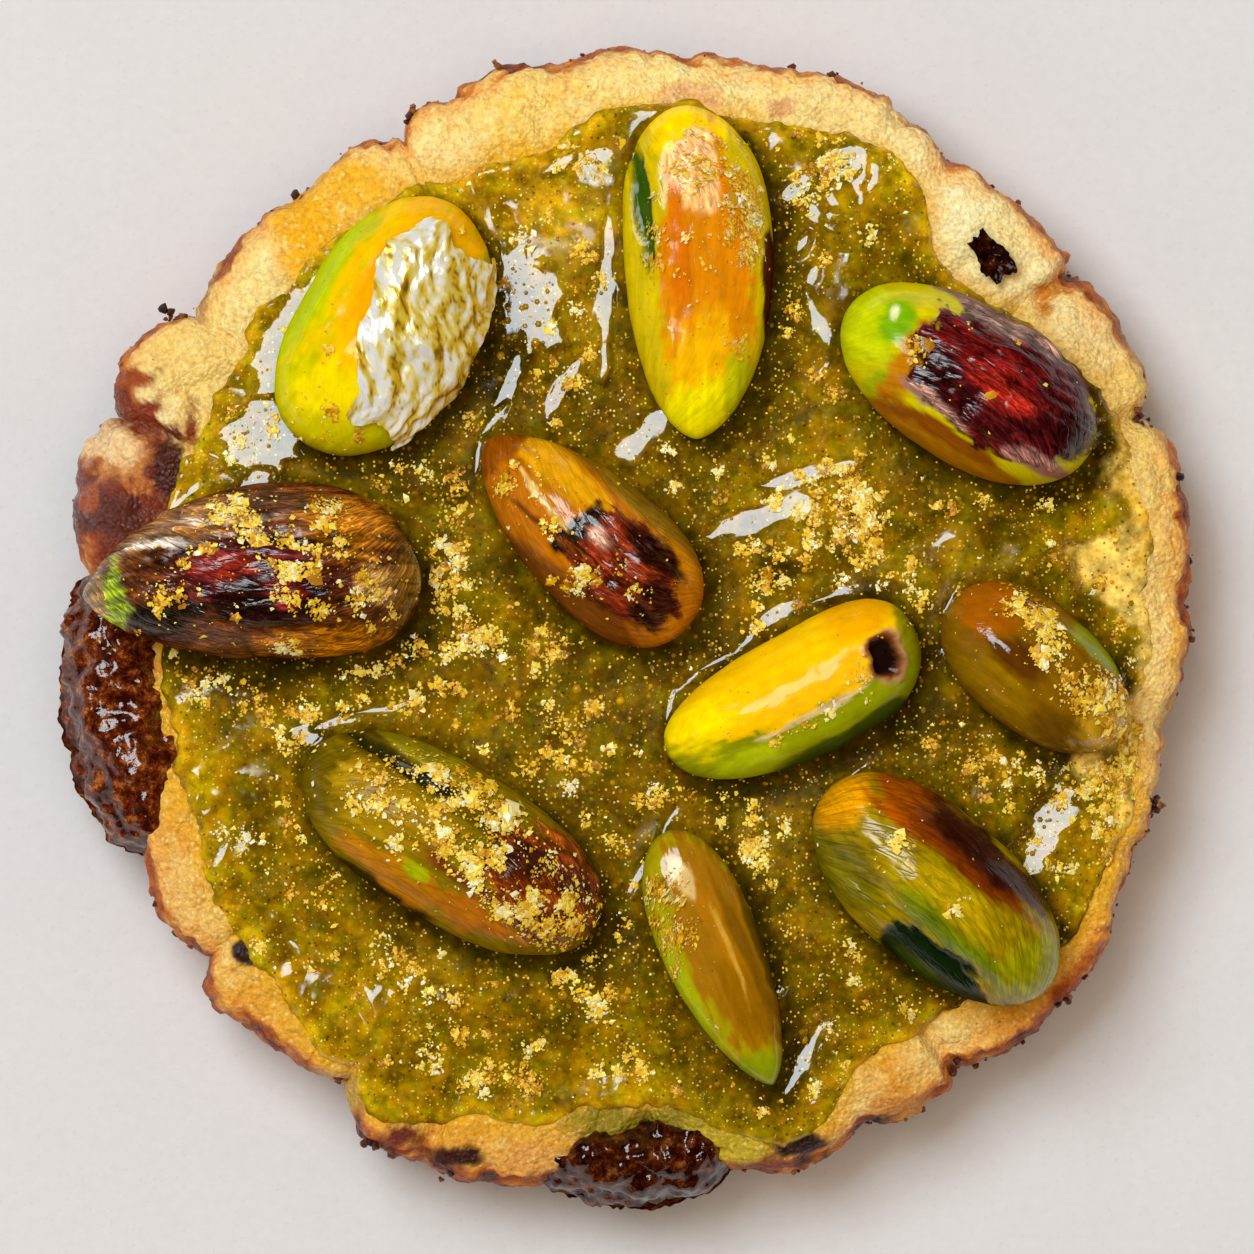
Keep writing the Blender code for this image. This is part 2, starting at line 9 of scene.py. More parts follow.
import bpy
import numpy as np
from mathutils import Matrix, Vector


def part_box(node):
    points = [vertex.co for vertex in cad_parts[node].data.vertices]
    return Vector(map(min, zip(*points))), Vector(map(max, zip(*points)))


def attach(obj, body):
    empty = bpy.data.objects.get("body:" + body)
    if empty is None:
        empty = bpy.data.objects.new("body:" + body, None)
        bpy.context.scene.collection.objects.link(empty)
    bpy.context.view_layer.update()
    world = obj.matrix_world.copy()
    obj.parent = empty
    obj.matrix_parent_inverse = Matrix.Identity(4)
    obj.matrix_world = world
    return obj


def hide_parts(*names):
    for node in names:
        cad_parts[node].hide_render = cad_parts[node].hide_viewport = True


bl_info = {
    "name": "Pistachio Cookie",
    "version": (1, 0, 0),
    "blender": (4, 5, 0),
    "location": "3D View > Sidebar > Cookie",
    "description": "Builds a pistachio cookie with its paste, kernels, gold and chocolate",
    "category": "Object",
}

MM = 0.001

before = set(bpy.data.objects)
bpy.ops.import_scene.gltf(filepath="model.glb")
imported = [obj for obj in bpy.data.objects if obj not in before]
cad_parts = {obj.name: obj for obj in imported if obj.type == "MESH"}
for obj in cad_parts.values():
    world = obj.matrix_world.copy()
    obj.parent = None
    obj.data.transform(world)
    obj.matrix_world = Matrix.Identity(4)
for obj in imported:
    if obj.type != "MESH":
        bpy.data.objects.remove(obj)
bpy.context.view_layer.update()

# ---- what the cookie's shape is worked out from -----------------------------------------------------

DOUGH_TOP = 10.2 * MM
BED_REACH = 23.0 * MM
LOBE_DROP = 1.0 * MM
CRACK_WIDTH = 0.4 * MM
CRACK_CUT = 0.55 * MM
CRACK_DIP = 0.9 * MM

# Each rim lobe: its angle, how far it stands out, its half width, its rise over the bed.
LOBES = (
    (87, 35.3, 14, 0.9), (66, 36.25, 9.5, 0.6), (46, 35.65, 10, 0.8), (31, 35.8, 8.5, 1.0),
    (14, 35.35, 10.5, 0.8), (1, 34.6, 10, 0.6), (341, 34.35, 9, 0.5), (322, 35.5, 12, 0.4),
    (302, 34.7, 6, 1.0), (288, 34.7, 7, 0.8), (255, 35.1, 8, 0.7), (246, 35.3, 4.5, 0.5),
    (233, 33.1, 10, 0.9), (224, 33.8, 5, 0.6), (213, 33.05, 9, 0.9), (188, 29.6, 14, 0.3),
    (164, 34.65, 7.5, 1.4), (152.5, 34.5, 6, 0.9), (134, 33.4, 10, 1.1), (121, 33.55, 7, 0.8),
    (110.5, 34.1, 3, 0.6), (101, 34.8, 7.5, 0.9),
)
# The dough's section from its foot to the bed: inset from the reach, height, share of the lobe's rise.
SECTION = (
    (1.9, 0.0, 0.0), (0.8, 0.8, 0.0), (0.25, 2.4, 0.0), (0.05, 4.8, 0.0), (0.0, 7.0, 0.0),
    (0.1, 8.8, 0.0), (0.5, 10.0, 0.0), (1.5, 10.2, 0.5), (3.6, 10.2, 0.95), (7.4, 10.2, 0.35),
    (11.5, 10.2, 0.0),
)

PASTE_TOP = 12.3 * MM
EDGE_INSET = 1.1 * MM
# How far the paste has spread from the middle, every 12 degrees from +X.
SPREAD = (32.3, 33.2, 32.6, 31.2, 29.3, 33.9, 32.0, 32.4, 30.4, 29.2, 29.4, 29.5, 29.3, 28.3, 28.7,
          29.0, 28.2, 28.7, 29.6, 30.9, 33.0, 32.2, 30.2, 29.9, 33.1, 31.2, 31.0, 32.7, 33.4, 32.5)

# A dab of colour on a kernel: its middle and half sizes along the kernel (-1 to 1) and across it (-1 right
# to 1 left), its lean, how soft its edge is, and the relief and wrinkles that it brings, in millimetres.
Dab = namedtuple("Dab", "colour u v half_u half_v lean soft rise wrinkle", defaults=(0.0, 0.5, 0.0, 0.0))
# A kernel: its tip points along heading. Gold lies on it in drifts: middle, spreads, how many bits.
Kernel = namedtuple(
    "Kernel",
    "name x y heading length width thick widest tail_full tip_full tail_point tip_point bow"
    " flat groove furrow lift tilt slot base dabs gold oil")
KERNELS = (
    Kernel("kernel_leaf", -14.8, 18.5, 58, 17.2, 10.9, 7.6, 0.1, 2.6, 2.2, 0.5, 0.55, -0.55,
           0.0, 0.3, 2.2, 0.0, 0, "kernel_lime", "#C6C400",
           (Dab("#FABC05", 0.3, 0.05, 0.95, 0.66), Dab("#F5A803", 0.2, 0.3, 0.4, 0.25, 0, 0.7),
            Dab("#EED600", -0.64, 0.1, 0.3, 0.42, 0, 0.7), Dab("#CEC101", -0.92, -0.2, 0.2, 0.5),
            Dab("#EFB000", 0.77, -0.1, 0.22, 0.45), Dab("#B8C600", 0.1, 0.92, 0.85, 0.15)),
           ((-0.75, -0.05, 0.12, 0.2, 90), (-0.6, 0.3, 0.2, 0.2, 40), (0.75, -0.1, 0.1, 0.2, 40)), 0.35),
    Kernel("kernel_split", 4.2, 21.7, -88, 20.4, 9.1, 6.4, -0.25, 2.3, 2.4, 0.55, 0.6, 0.5,
           3.0, 0.5, -3.2, 0.0, 1, "kernel_orange", "#D2B906",
           (Dab("#FFD303", -0.92, 0.05, 0.22, 0.6), Dab("#DC8604", 0.0, 0.12, 0.8, 0.64, 0, 0.2, -0.15),
            Dab("#D87305", 0.0, -0.25, 0.55, 0.15, 0, 0.8), Dab("#F0B202", 0.62, 0.1, 0.36, 0.5, 0, 0.8),
            Dab("#E9DC01", 0.93, 0.1, 0.24, 0.7), Dab("#B9B905", 0.72, 0.55, 0.22, 0.2),
            Dab("#FABD76", -0.62, 0.04, 0.26, 0.3, 0, 0.2, 0.08, 0.1),
            Dab("#335408", -0.42, -0.74, 0.36, 0.15, 0.12, 0.35, -0.55),
            Dab("#47180A", 0.1, 0.95, 0.36, 0.12, 0, 0.2)),
           ((-0.4, 0.62, 0.17, 0.13, 620), (-0.12, 0.66, 0.1, 0.1, 240), (-0.62, 0.1, 0.12, 0.18, 220),
            (0.4, 0.42, 0.06, 0.12, 80), (-0.17, -0.62, 0.12, 0.06, 90), (-0.3, -0.05, 0.4, 0.35, 200),
            (0.1, 0.0, 0.5, 0.4, 120)), 0.6),
    Kernel("kernel_red", 21.1, 15.0, -31, 17.2, 9.6, 8.4, 0.1, 2.3, 2.3, 0.5, 0.5, -0.1,
           0.0, 0.0, 0.0, 0.0, 0, "kernel_skin", "#D4C704",
           (Dab("#C8D404", -0.85, -0.05, 0.26, 0.5), Dab("#7CB008", -0.66, 0.22, 0.12, 0.34, 0, 0.8),
            # E8F0B0 is a painted highlight.
            Dab("#A6B404", -0.55, -0.55, 0.1, 0.3, 0.3, 0.8), Dab("#E8F0B0", -0.72, 0.3, 0.035, 0.1, 0, 0.6),
            Dab("#A87004", 0.2, -0.92, 0.95, 0.22), Dab("#C07A08", -0.44, -0.1, 0.12, 0.62, 0, 0.6),
            Dab("#8A4A06", 0.0, -0.74, 0.5, 0.12, 0, 0.6), Dab("#C8B81C", 0.9, -0.5, 0.16, 0.4),
            Dab("#4A1012", 0.24, 0.2, 0.74, 0.84, 0, 0.06, 0.14, 0.3),
            # 8E6A60 is a pale band along the upper edge, partly peeled skin and partly a painted sheen.
            Dab("#8E6A60", 0.05, 0.9, 0.72, 0.16, 0, 0.5, 0, 0.1),
            Dab("#9A6A62", 0.72, -0.42, 0.26, 0.13, 0.2, 0.5),
            Dab("#741210", 0.1, 0.34, 0.4, 0.26, -0.1, 1.0),
            Dab("#8A1E14", 0.22, 0.12, 0.26, 0.2, -0.1, 1.0), Dab("#2A0808", 0.84, 0.1, 0.14, 0.34, 0, 0.5),
            Dab("#30090C", -0.22, -0.1, 0.18, 0.26, 0, 0.7),
            # A47A70 is a painted highlight.
            Dab("#A47A70", -0.14, -0.42, 0.3, 0.09, -0.2, 0.4)),
           ((0.14, 0.76, 0.02, 0.05, 16), (-0.2, 0.6, 0.03, 0.05, 10), (0, 0, 0.5, 0.5, 40)), 0.5),
    Kernel("kernel_west", -22.6, 2.5, 183, 20.7, 10.8, 8.6, -0.2, 2.5, 2.0, 0.5, 0.7, -0.9,
           0.0, 0.0, 0.0, 0.6, 1, "kernel_skin", "#63300E",
           (Dab("#5E3010", 0.0, 0.0, 1.4, 1.4, 0, 0.3, 0, 0.14),
            Dab("#80552A", 0.5, -0.55, 0.45, 0.26, 0, 0.6, 0, 0.1),
            Dab("#441316", 0.0, 0.0, 0.5, 0.45, 0, 0.7, 0, 0.14),
            Dab("#220D08", -0.1, 0.35, 0.36, 0.26, 0, 0.6), Dab("#26190D", 0.5, 0.4, 0.26, 0.2),
            Dab("#731F16", 0.1, -0.1, 0.2, 0.16, 0, 0.7), Dab("#681914", -0.2, 0.25, 0.12, 0.12, 0, 0.7),
            Dab("#9F5E01", -0.5, 0.85, 0.4, 0.2), Dab("#9C5E10", -0.6, -0.5, 0.26, 0.3, 0, 0.7),
            Dab("#A47C42", -0.74, 0.1, 0.1, 0.24, 0, 0.7), Dab("#6E4A16", -0.93, 0.0, 0.08, 0.5, 0, 0.7),
            Dab("#869A1E", 0.84, 0.16, 0.12, 0.42, 0, 0.2, -0.1),
            # D2C0B0 is a painted highlight streak.
            Dab("#D2C0B0", 0.53, -0.37, 0.2, 0.06, 0, 0.4, 0.05),
            Dab("#BFA48C", 0.1, -0.62, 0.3, 0.05, 0, 0.5, 0.04),
            Dab("#9A7544", 0.95, -0.1, 0.07, 0.4)),
           ((0.07, -0.72, 0.08, 0.1, 300), (-0.46, -0.65, 0.05, 0.12, 200), (-0.12, -0.31, 0.1, 0.1, 240),
            (-0.27, -0.1, 0.08, 0.1, 170), (0.5, 0.17, 0.05, 0.1, 90), (-0.2, 0.33, 0.05, 0.07, 90),
            (-0.4, 0.44, 0.05, 0.06, 70), (-0.18, 0.85, 0.07, 0.08, 160), (-0.75, 0.2, 0.08, 0.25, 200),
            (0.33, -0.19, 0.15, 0.2, 90), (-0.5, -0.2, 0.1, 0.2, 100), (0, 0, 0.6, 0.6, 520)), 0.8),
    Kernel("kernel_amber", -2.2, 5.7, 137, 16.8, 8.4, 7.2, -0.3, 2.4, 2.0, 0.5, 0.62, 0.0,
           0.0, 0.3, 1.6, 0.0, 2, "kernel_amber", "#C37106",
           (Dab("#E8A40C", 0.45, -0.4, 0.45, 0.32, 0, 0.7), Dab("#CC8004", -0.65, -0.65, 0.32, 0.3),
            Dab("#9A4E02", 0.92, 0.0, 0.13, 0.6), Dab("#7A3A0A", -0.5, 0.7, 0.4, 0.32, 0, 0.6),
            Dab("#62220C", -0.36, 0.0, 0.5, 0.66, 0, 0.14, 0.05, 0.24),
            Dab("#24100A", 0.06, 0.05, 0.1, 0.46, -0.12, 0.3),
            # B4846E is a painted highlight on the dark skin.
            Dab("#8E3218", -0.26, -0.06, 0.22, 0.3, 0, 0.8), Dab("#B4846E", -0.1, -0.08, 0.1, 0.12, 0, 0.8),
            Dab("#2A0E06", -0.5, -0.42, 0.3, 0.16, 0, 0.5), Dab("#34140A", -0.72, 0.1, 0.14, 0.4, 0, 0.6),
            Dab("#8E6A12", -0.05, -0.92, 0.85, 0.22, 0, 0.7), Dab("#7C420E", -0.1, 0.88, 0.75, 0.22, 0, 0.7),
            # F0C870 is a painted highlight streak.
            Dab("#F0C870", 0.42, 0.05, 0.3, 0.04, -0.3, 0.5), Dab("#6A3208", 0.2, 0.3, 0.34, 0.05, 0.2, 0.7)),
           ((0.64, 0.28, 0.05, 0.1, 90), (-0.21, 0.5, 0.06, 0.12, 200), (-0.35, 0.04, 0.03, 0.05, 26),
            (0, 0.2, 0.6, 0.5, 200), (0.5, -0.2, 0.2, 0.2, 70), (-0.61, 0.16, 0.06, 0.08, 50)), 0.9),
    Kernel("kernel_bean", 10.3, -3.9, 27, 16.9, 7.7, 6.6, 0.25, 2.6, 2.8, 0.5, 0.48, -0.5,
           0.0, 0.3, -2.0, 0.0, 0, "kernel_orange", "#929B04",
           (Dab("#AFBE09", -0.6, -0.65, 0.32, 0.25, 0, 0.7), Dab("#3F4E07", 0.25, -0.98, 0.6, 0.2),
            Dab("#FFC803", -0.02, 0.42, 1.02, 0.8, 0, 0.1, 0.12), Dab("#FFBE0D", 0.1, 0.1, 0.45, 0.3, 0, 0.8),
            Dab("#FFDD01", -0.75, 0.2, 0.26, 0.42, 0, 0.7), Dab("#F5AD01", 0.65, 0.6, 0.22, 0.4, 0, 0.7),
            Dab("#949004", 0.97, 0.0, 0.1, 0.6), Dab("#F0D596", 0.02, -0.36, 0.44, 0.05, 0, 0.5, 0.06, 0.06),
            Dab("#C09060", 0.715, -0.15, 0.158, 0.38, 0, 0.3, 0.1),
            Dab("#7A3C16", 0.7, -0.12, 0.14, 0.34, 0, 0.3),
            Dab("#1C0C09", 0.71, -0.13, 0.115, 0.28, 0, 0.2, -0.8)),
           ((-0.04, -0.44, 0.15, 0.05, 80), (0, 0.1, 0.6, 0.35, 90)), 0.35),
    Kernel("kernel_east", 25.2, -2.5, -40, 13.1, 7.8, 6.8, -0.1, 2.4, 2.4, 0.5, 0.52, 0.0,
           0.0, 0.3, 1.2, 0.0, 0, "kernel_amber", "#835B03",
           (Dab("#A55B03", -0.7, 0.35, 0.32, 0.5), Dab("#5D3304", -0.2, -0.1, 0.3, 0.26, 0, 0.7),
            Dab("#916B03", -0.2, -0.65, 0.45, 0.3), Dab("#6A4804", 0.6, -0.5, 0.35, 0.3),
            Dab("#C6981E", 0.85, 0.0, 0.25, 0.5, 0, 0.7), Dab("#808E0C", 0.45, 0.85, 0.4, 0.2)),
           ((-0.53, 0.66, 0.1, 0.12, 170), (-0.22, 0.6, 0.1, 0.15, 280), (-0.01, 0.4, 0.1, 0.15, 260),
            (0.69, 0.32, 0.16, 0.22, 540), (0.91, 0.0, 0.06, 0.2, 110), (0.3, 0.3, 0.2, 0.2, 140),
            (0, 0, 0.6, 0.5, 110)), 1.0),
    Kernel("kernel_gilded", -10.4, -13.1, -31, 20.4, 9.5, 8.0, 0.0, 2.6, 2.6, 0.5, 0.5, -0.1,
           0.0, 0.9, 2.2, 0.0, 0, "kernel_green", "#8C7406",
           (Dab("#6E5A02", -0.85, -0.15, 0.2, 0.5), Dab("#3C2E04", -0.3, -0.98, 0.5, 0.1, 0, 0.6),
            Dab("#C09A10", -0.7, 0.1, 0.14, 0.2, 0.3, 0.8), Dab("#5E4A04", -0.72, 0.62, 0.2, 0.24, 0, 0.8),
            Dab("#6A5206", 0.1, 0.48, 0.4, 0.14, 0, 0.8), Dab("#7A3A10", 0.12, -0.3, 0.3, 0.1, -0.2, 0.7),
            Dab("#A8820A", -0.4, 0.0, 0.35, 0.36, 0, 0.8),
            Dab("#98890A", -0.4, 0.85, 0.5, 0.16), Dab("#2E2A07", -0.45, 0.58, 0.45, 0.09, 0.05, 0.3, -0.55),
            Dab("#BF7A0A", -0.2, -0.7, 0.36, 0.2), Dab("#A9AE05", -0.1, -0.52, 0.08, 0.1),
            Dab("#73310C", 0.6, 0.15, 0.42, 0.72, 0, 0.4, 0, 0.16), Dab("#37150C", 0.45, 0.3, 0.12, 0.2),
            Dab("#511D1B", 0.75, 0.35, 0.12, 0.2), Dab("#B46B0E", 0.35, -0.65, 0.3, 0.2)),
           ((-0.29, 0.72, 0.12, 0.1, 260), (-0.05, 0.7, 0.1, 0.1, 260), (0.2, 0.6, 0.12, 0.14, 300),
            (0.17, 0.08, 0.14, 0.2, 320), (-0.51, -0.04, 0.12, 0.15, 160), (0.68, 0.27, 0.1, 0.15, 220),
            (0.85, -0.1, 0.06, 0.15, 160), (0.61, -0.26, 0.12, 0.14, 340), (0.43, -0.35, 0.1, 0.1, 160),
            (-0.3, 0.23, 0.2, 0.2, 300), (0.0, 0.1, 0.5, 0.4, 900), (0.89, 0.24, 0.05, 0.1, 80)), 0.25),
    Kernel("kernel_slim", 5.9, -20.2, -67, 16.8, 6.1, 5.6, -0.25, 2.2, 2.2, 0.5, 0.7, -0.15,
           2.4, 0.0, 0.0, 0.0, 0, "kernel_amber", "#A69905",
           (Dab("#A26F0B", -0.1, 0.22, 0.9, 0.78, 0, 0.15, -0.1),
            Dab("#906000", 0.35, 0.25, 0.42, 0.5, 0, 0.8),
            Dab("#AE7107", -0.25, 0.35, 0.35, 0.3, 0, 0.8), Dab("#A6AD06", 0.25, -0.85, 0.5, 0.22),
            Dab("#8A9606", 0.93, -0.1, 0.2, 0.7, 0, 0.3), Dab("#5E4701", 0.2, 0.95, 0.5, 0.12),
            Dab("#C89630", -0.02, 0.3, 0.42, 0.045, -0.2, 0.5, 0.05),
            Dab("#7E5606", 0.1, 0.62, 0.6, 0.16, 0, 0.8),
            # D8B878 is a painted highlight.
            Dab("#D8B878", -0.66, -0.05, 0.16, 0.22, 0.3, 0.4)),
           ((-0.59, -0.44, 0.07, 0.22, 280), (-0.3, -0.52, 0.08, 0.2, 260), (-0.1, -0.75, 0.12, 0.1, 80),
            (0, 0, 0.5, 0.5, 60)), 1.0),
    Kernel("kernel_green", 19.2, -16.0, -42, 18.1, 9.6, 8.2, 0.05, 2.5, 2.3, 0.5, 0.52, -0.1,
           0.0, 0.8, -2.6, 0.0, 0, "kernel_green", "#9E8503",
           (Dab("#F0A301", -0.9, 0.05, 0.16, 0.55), Dab("#7A6F03", -0.6, -0.55, 0.36, 0.26, 0, 0.7),
            Dab("#BA9B04", 0.0, -0.1, 0.6, 0.3, 0, 0.8), Dab("#768505", 0.3, -0.28, 0.5, 0.2, 0, 0.8),
            Dab("#A95001", -0.55, 0.6, 0.32, 0.36, 0, 0.6), Dab("#7C3505", 0.0, 0.55, 0.55, 0.2, 0, 0.7),
            Dab("#36130C", 0.1, 0.76, 0.55, 0.22, 0, 0.5), Dab("#9D9B05", 0.86, 0.1, 0.2, 0.45, 0, 0.7),
            Dab("#14240A", 0.4, -0.82, 0.56, 0.32, 0, 0.12, -0.5),
            Dab("#2E420A", 0.35, -0.95, 0.3, 0.1, 0, 0.8)),
           ((-0.45, 0.05, 0.08, 0.12, 50), (0, 0.2, 0.5, 0.4, 70)), 0.9),
)
# How much each kernel shows its fibres: 0 is smooth and waxy.
FIBROUS = {"kernel_leaf": 0.05, "kernel_split": 0.2, "kernel_red": 0.2, "kernel_west": 1.0,
           "kernel_amber": 0.45,
           "kernel_bean": 0.05, "kernel_east": 0.2, "kernel_gilded": 0.55, "kernel_slim": 0.08,
           "kernel_green": 0.8}
KERNEL_REST = 0.45 * MM
KERNEL_BELOW = 0.42
KERNEL_FOOT = 0.86
END_TAPER = 0.85
FURROW_WIDTH = 0.9 * MM

# Runs of chocolate: first and last angle, inner and outer reach, top, foot, how light a brown.
CHOCOLATES = (
    ("chocolate_west", 173.0, 206.5, 27.4, 34.6, 11.0, 0.6, 1.35),
    ("chocolate_south", 260.5, 282.0, 29.6, 35.3, 11.2, 0.6, 0.65),
)

LEAF_ALONG = (-0.62, 0.74)
LEAF_ROUND = (70, 158)
# How far the leaf's near edge leans, in degrees round the kernel, from its low end to its high end.
LEAF_LEAN = (30, 22, 12, 2, -6, -6, 4)
# The leaf's length and breadth in millimetres, and its facets along and across.
LEAF_LENGTH, LEAF_BREADTH = 11, 9
LEAF_STEPS = (64, 50)
CHOCOLATE_STEPS = (130, 96)
SHARD_STEPS = (26, 18)
SHARD_HEADING = math.radians(-52)


# ---- numbers ----------------------------------------------------------------------------------------

def linear(hex_colour):
    """An sRGB hex colour as linear light."""
    parts = [int(hex_colour[i:i + 2], 16) / 255 for i in (1, 3, 5)]
    return [c / 12.92 if c <= 0.04045 else ((c + 0.055) / 1.055) ** 2.4 for c in parts]


def chance(cell, salt=0):
    """A fixed random value from -1 to 1 for each whole cell."""
    mixed = (cell[..., 0] * 73856093) ^ (cell[..., 1] * 19349663) ^ (cell[..., 2] * 83492791)
    mixed = (mixed + salt * 2654435) & 0x7FFFFFFF
    mixed = ((mixed ^ (mixed >> 13)) * 1274126177) & 0x7FFFFFFF
    mixed = ((mixed ^ (mixed >> 11)) * 668265263) & 0x7FFFFFFF
    return ((mixed >> 7) & 0xFFFF) / 32767.5 - 1.0


def bumps(points, size, salt=0):
    """Smooth random bumps of one size, from -1 to 1."""
    place = points / size + 97.3
    cell = np.floor(place).astype(np.int64)
    inside = place - cell
    smooth = inside ** 3 * (inside * (inside * 6 - 15) + 10)
    total = np.zeros(points.shape[:-1])
    for corner in product((0, 1), repeat=3):
        weight = np.prod(np.where(corner, smooth, 1 - smooth), axis=-1)
        total += weight * chance(cell + np.array(corner), salt)
    return total


def crags(points, size, octaves=3, salt=0):
    """Random relief that holds ever smaller bumps, from about -1 to 1."""
    return sum(bumps(points, size / 2 ** n, salt + n) / 1.8 ** n for n in range(octaves)) / 1.6


def pebbles(points, size, salt=0):
    """Packed round lumps of one size: 1 in a lump's middle, falling to 0 where lumps meet."""
    place = points / size + 61.7
    cell = np.floor(place).astype(np.int64)
    nearest = np.full(points.shape[:-1], 9.0)
    for step in product((-1, 0, 1), repeat=3):
        other = cell + np.array(step)
        middle = other + 0.5 + 0.42 * np.stack([chance(other, salt + n) for n in (3, 5, 7)], axis=-1)
        nearest = np.minimum(nearest, np.linalg.norm(middle - place, axis=-1))
    return np.clip(1.0 - nearest, 0.0, 1.0)


def ease(value, low, high):
    """0 below low, 1 above high, and smooth between."""
    share = np.clip((value - low) / (high - low), 0.0, 1.0)
    return share * share * (3 - 2 * share)


def through(rows, count):
    """A smooth path of count points through the rows of a table."""
    rows = np.array(rows, float)
    padded = np.vstack([2 * rows[0] - rows[1], rows, 2 * rows[-1] - rows[-2]])
    where = np.linspace(0, len(rows) - 1, count)
    index = np.minimum(where.astype(int), len(rows) - 2)
    t = (where - index)[:, None]
    a, b, c, d = (padded[index + n] for n in range(4))
    return b + 0.5 * t * (c - a + t * (2 * a - 5 * b + 4 * c - d + t * (3 * (b - c) + d - a)))


def unit(vectors):
    """Vectors brought to length 1."""
    return vectors / np.maximum(np.linalg.norm(vectors, axis=-1, keepdims=True), 1e-12)


def polar(far, turn):
    """Places at a distance from the middle, turned from +X."""
    return np.stack([far * np.cos(turn), far * np.sin(turn)], -1)


def scattered(random, reach, count):
    """Places scattered evenly in a disc."""
    turn = random.uniform(0, 2 * np.pi, count)
    return polar(reach * np.sqrt(random.uniform(0, 1, count)), turn)


def normals_of(grid):
    """The outward direction at each point of a grid of points."""
    around = np.roll(grid, -1, 1) - np.roll(grid, 1, 1)
    along = np.gradient(grid, axis=0)
    return unit(np.cross(around, along))


# ---- meshes -----------------------------------------------------------------------------------------

def mesh_object(name, points, faces, material, tint=None, **values):
    """A shaded mesh that rides on the cookie, with a colour and named numbers stored for each point."""
    mesh = bpy.data.meshes.new(name)
    mesh.from_pydata(np.asarray(points).reshape(-1, 3).tolist(), [], faces)
    if tint is not None:
        tint = np.asarray(tint, np.float32).reshape(-1, 3)
        stored = mesh.attributes.new("tint", "FLOAT_COLOR", "POINT")
        colours = np.column_stack([tint, np.ones(len(tint))]).astype(np.float32)
        stored.data.foreach_set("color", colours.ravel())
    for key, value in values.items():
        value = np.asarray(value, np.float32)
        kind, field = ("FLOAT_VECTOR", "vector") if value.ndim == 2 else ("FLOAT", "value")
        mesh.attributes.new(key, kind, "POINT").data.foreach_set(field, value.ravel())
    mesh.materials.append(material)
    mesh.shade_smooth()
    made = bpy.data.objects.new(name, mesh)
    bpy.context.scene.collection.objects.link(made)
    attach(made, "root")
    return made


def loft_faces(rows, columns):
    """Faces of a tube of rings, given ring by ring, then its first and last points after them."""
    index = np.arange(rows * columns).reshape(rows, columns)
    following = np.roll(index, -1, 1)
    faces = np.stack([index[:-1], following[:-1], following[1:], index[1:]], -1).reshape(-1, 4).tolist()
    tail, tip = rows * columns, rows * columns + 1
    faces += [(b, a, tail) for a, b in zip(index[0].tolist(), following[0].tolist())]
    faces += [(a, b, tip) for a, b in zip(index[-1].tolist(), following[-1].tolist())]
    return faces


# ---- materials --------------------------------------------------------------------------------------

def add(tree, kind, inputs=None, stops=None, **settings):
    """Adds a node, sets its properties, and gives each input a value or a link from another output."""
    node = tree.nodes.new("ShaderNode" + kind)
    for key, value in settings.items():
        setattr(node, key, value)
    for key, value in (inputs or {}).items():
        if isinstance(value, bpy.types.NodeSocket):
            tree.links.new(value, node.inputs[key])
        else:
            node.inputs[key].default_value = value
    for number, (position, colour) in enumerate(stops or ()):
        ramp = node.color_ramp.elements
        stop = ramp[number] if number < 2 else ramp.new(position)
        stop.position = position
        stop.color = colour
    return node


def new_material(name, **surface):
    """An empty Principled material, and its tree, its shader and the place of each point."""
    material = bpy.data.materials.new(name)
    material.use_nodes = True
    tree = material.node_tree
    shader = tree.nodes["Principled BSDF"]
    for key, value in surface.items():
        shader.inputs[key.replace("_", " ").title().replace("Ior", "IOR")].default_value = value
    place = add(tree, "TexCoord").outputs["Object"]
    return material, tree, shader, place


def rgba(colour):
    return (*colour[:3], 1.0)


def mix(tree, share, first, second):
    """One colour laid over another."""
    return add(tree, "Mix", {0: share, 6: first, 7: second}, data_type="RGBA").outputs[2]


def spread(tree, value, low, high, to_low, to_high):
    """A value carried from one range to another."""
    return add(tree, "MapRange", {0: value, 1: low, 2: high, 3: to_low, 4: to_high}).outputs[0]


def clouds(tree, place, size, detail=4.0, roughness=0.65):
    return add(tree, "TexNoise", {"Vector": place, "Scale": 1 / size, "Detail": detail,
                                  "Roughness": roughness}).outputs["Fac"]


def dots(tree, place, size, far, chosen):
    """Small round specks: one in some of the cells of a packed pattern."""
    cells = add(tree, "TexVoronoi", {"Vector": place, "Scale": 1 / size})
    near = spread(tree, cells.outputs["Distance"], far * 0.6, far, 1.0, 0.0)
    pick = add(tree, "SeparateColor", {"Color": cells.outputs["Color"]}).outputs[0]
    some = add(tree, "Math", {0: pick, 1: 1.0 - chosen}, operation="GREATER_THAN").outputs[0]
    return add(tree, "Math", {0: near, 1: some}, operation="MULTIPLY").outputs[0]


def times(tree, *values):
    total = values[0]
    for value in values[1:]:
        total = add(tree, "Math", {0: total, 1: value}, operation="MULTIPLY").outputs[0]
    return total


def scaled(tree, colour, value):
    return add(tree, "VectorMath", {0: colour, "Scale": value}, operation="SCALE").outputs[0]


def painted(tree, name="tint"):
    """A colour that the mesh stores for each point."""
    return add(tree, "Attribute", attribute_name=name).outputs["Color"]


def carried(tree, name):
    """A number that the mesh stores for each point."""
    return add(tree, "Attribute", attribute_name=name).outputs["Fac"]


def raised(tree, height, distance, strength):
    """The direction of a surface with relief."""
    return add(tree, "Bump", {"Height": height, "Distance": distance, "Strength": strength}).outputs[0]


def join(tree, shader, value, *names):
    """Leads one value into inputs of the shader."""
    for name in names:
        tree.links.new(value, shader.inputs[name])


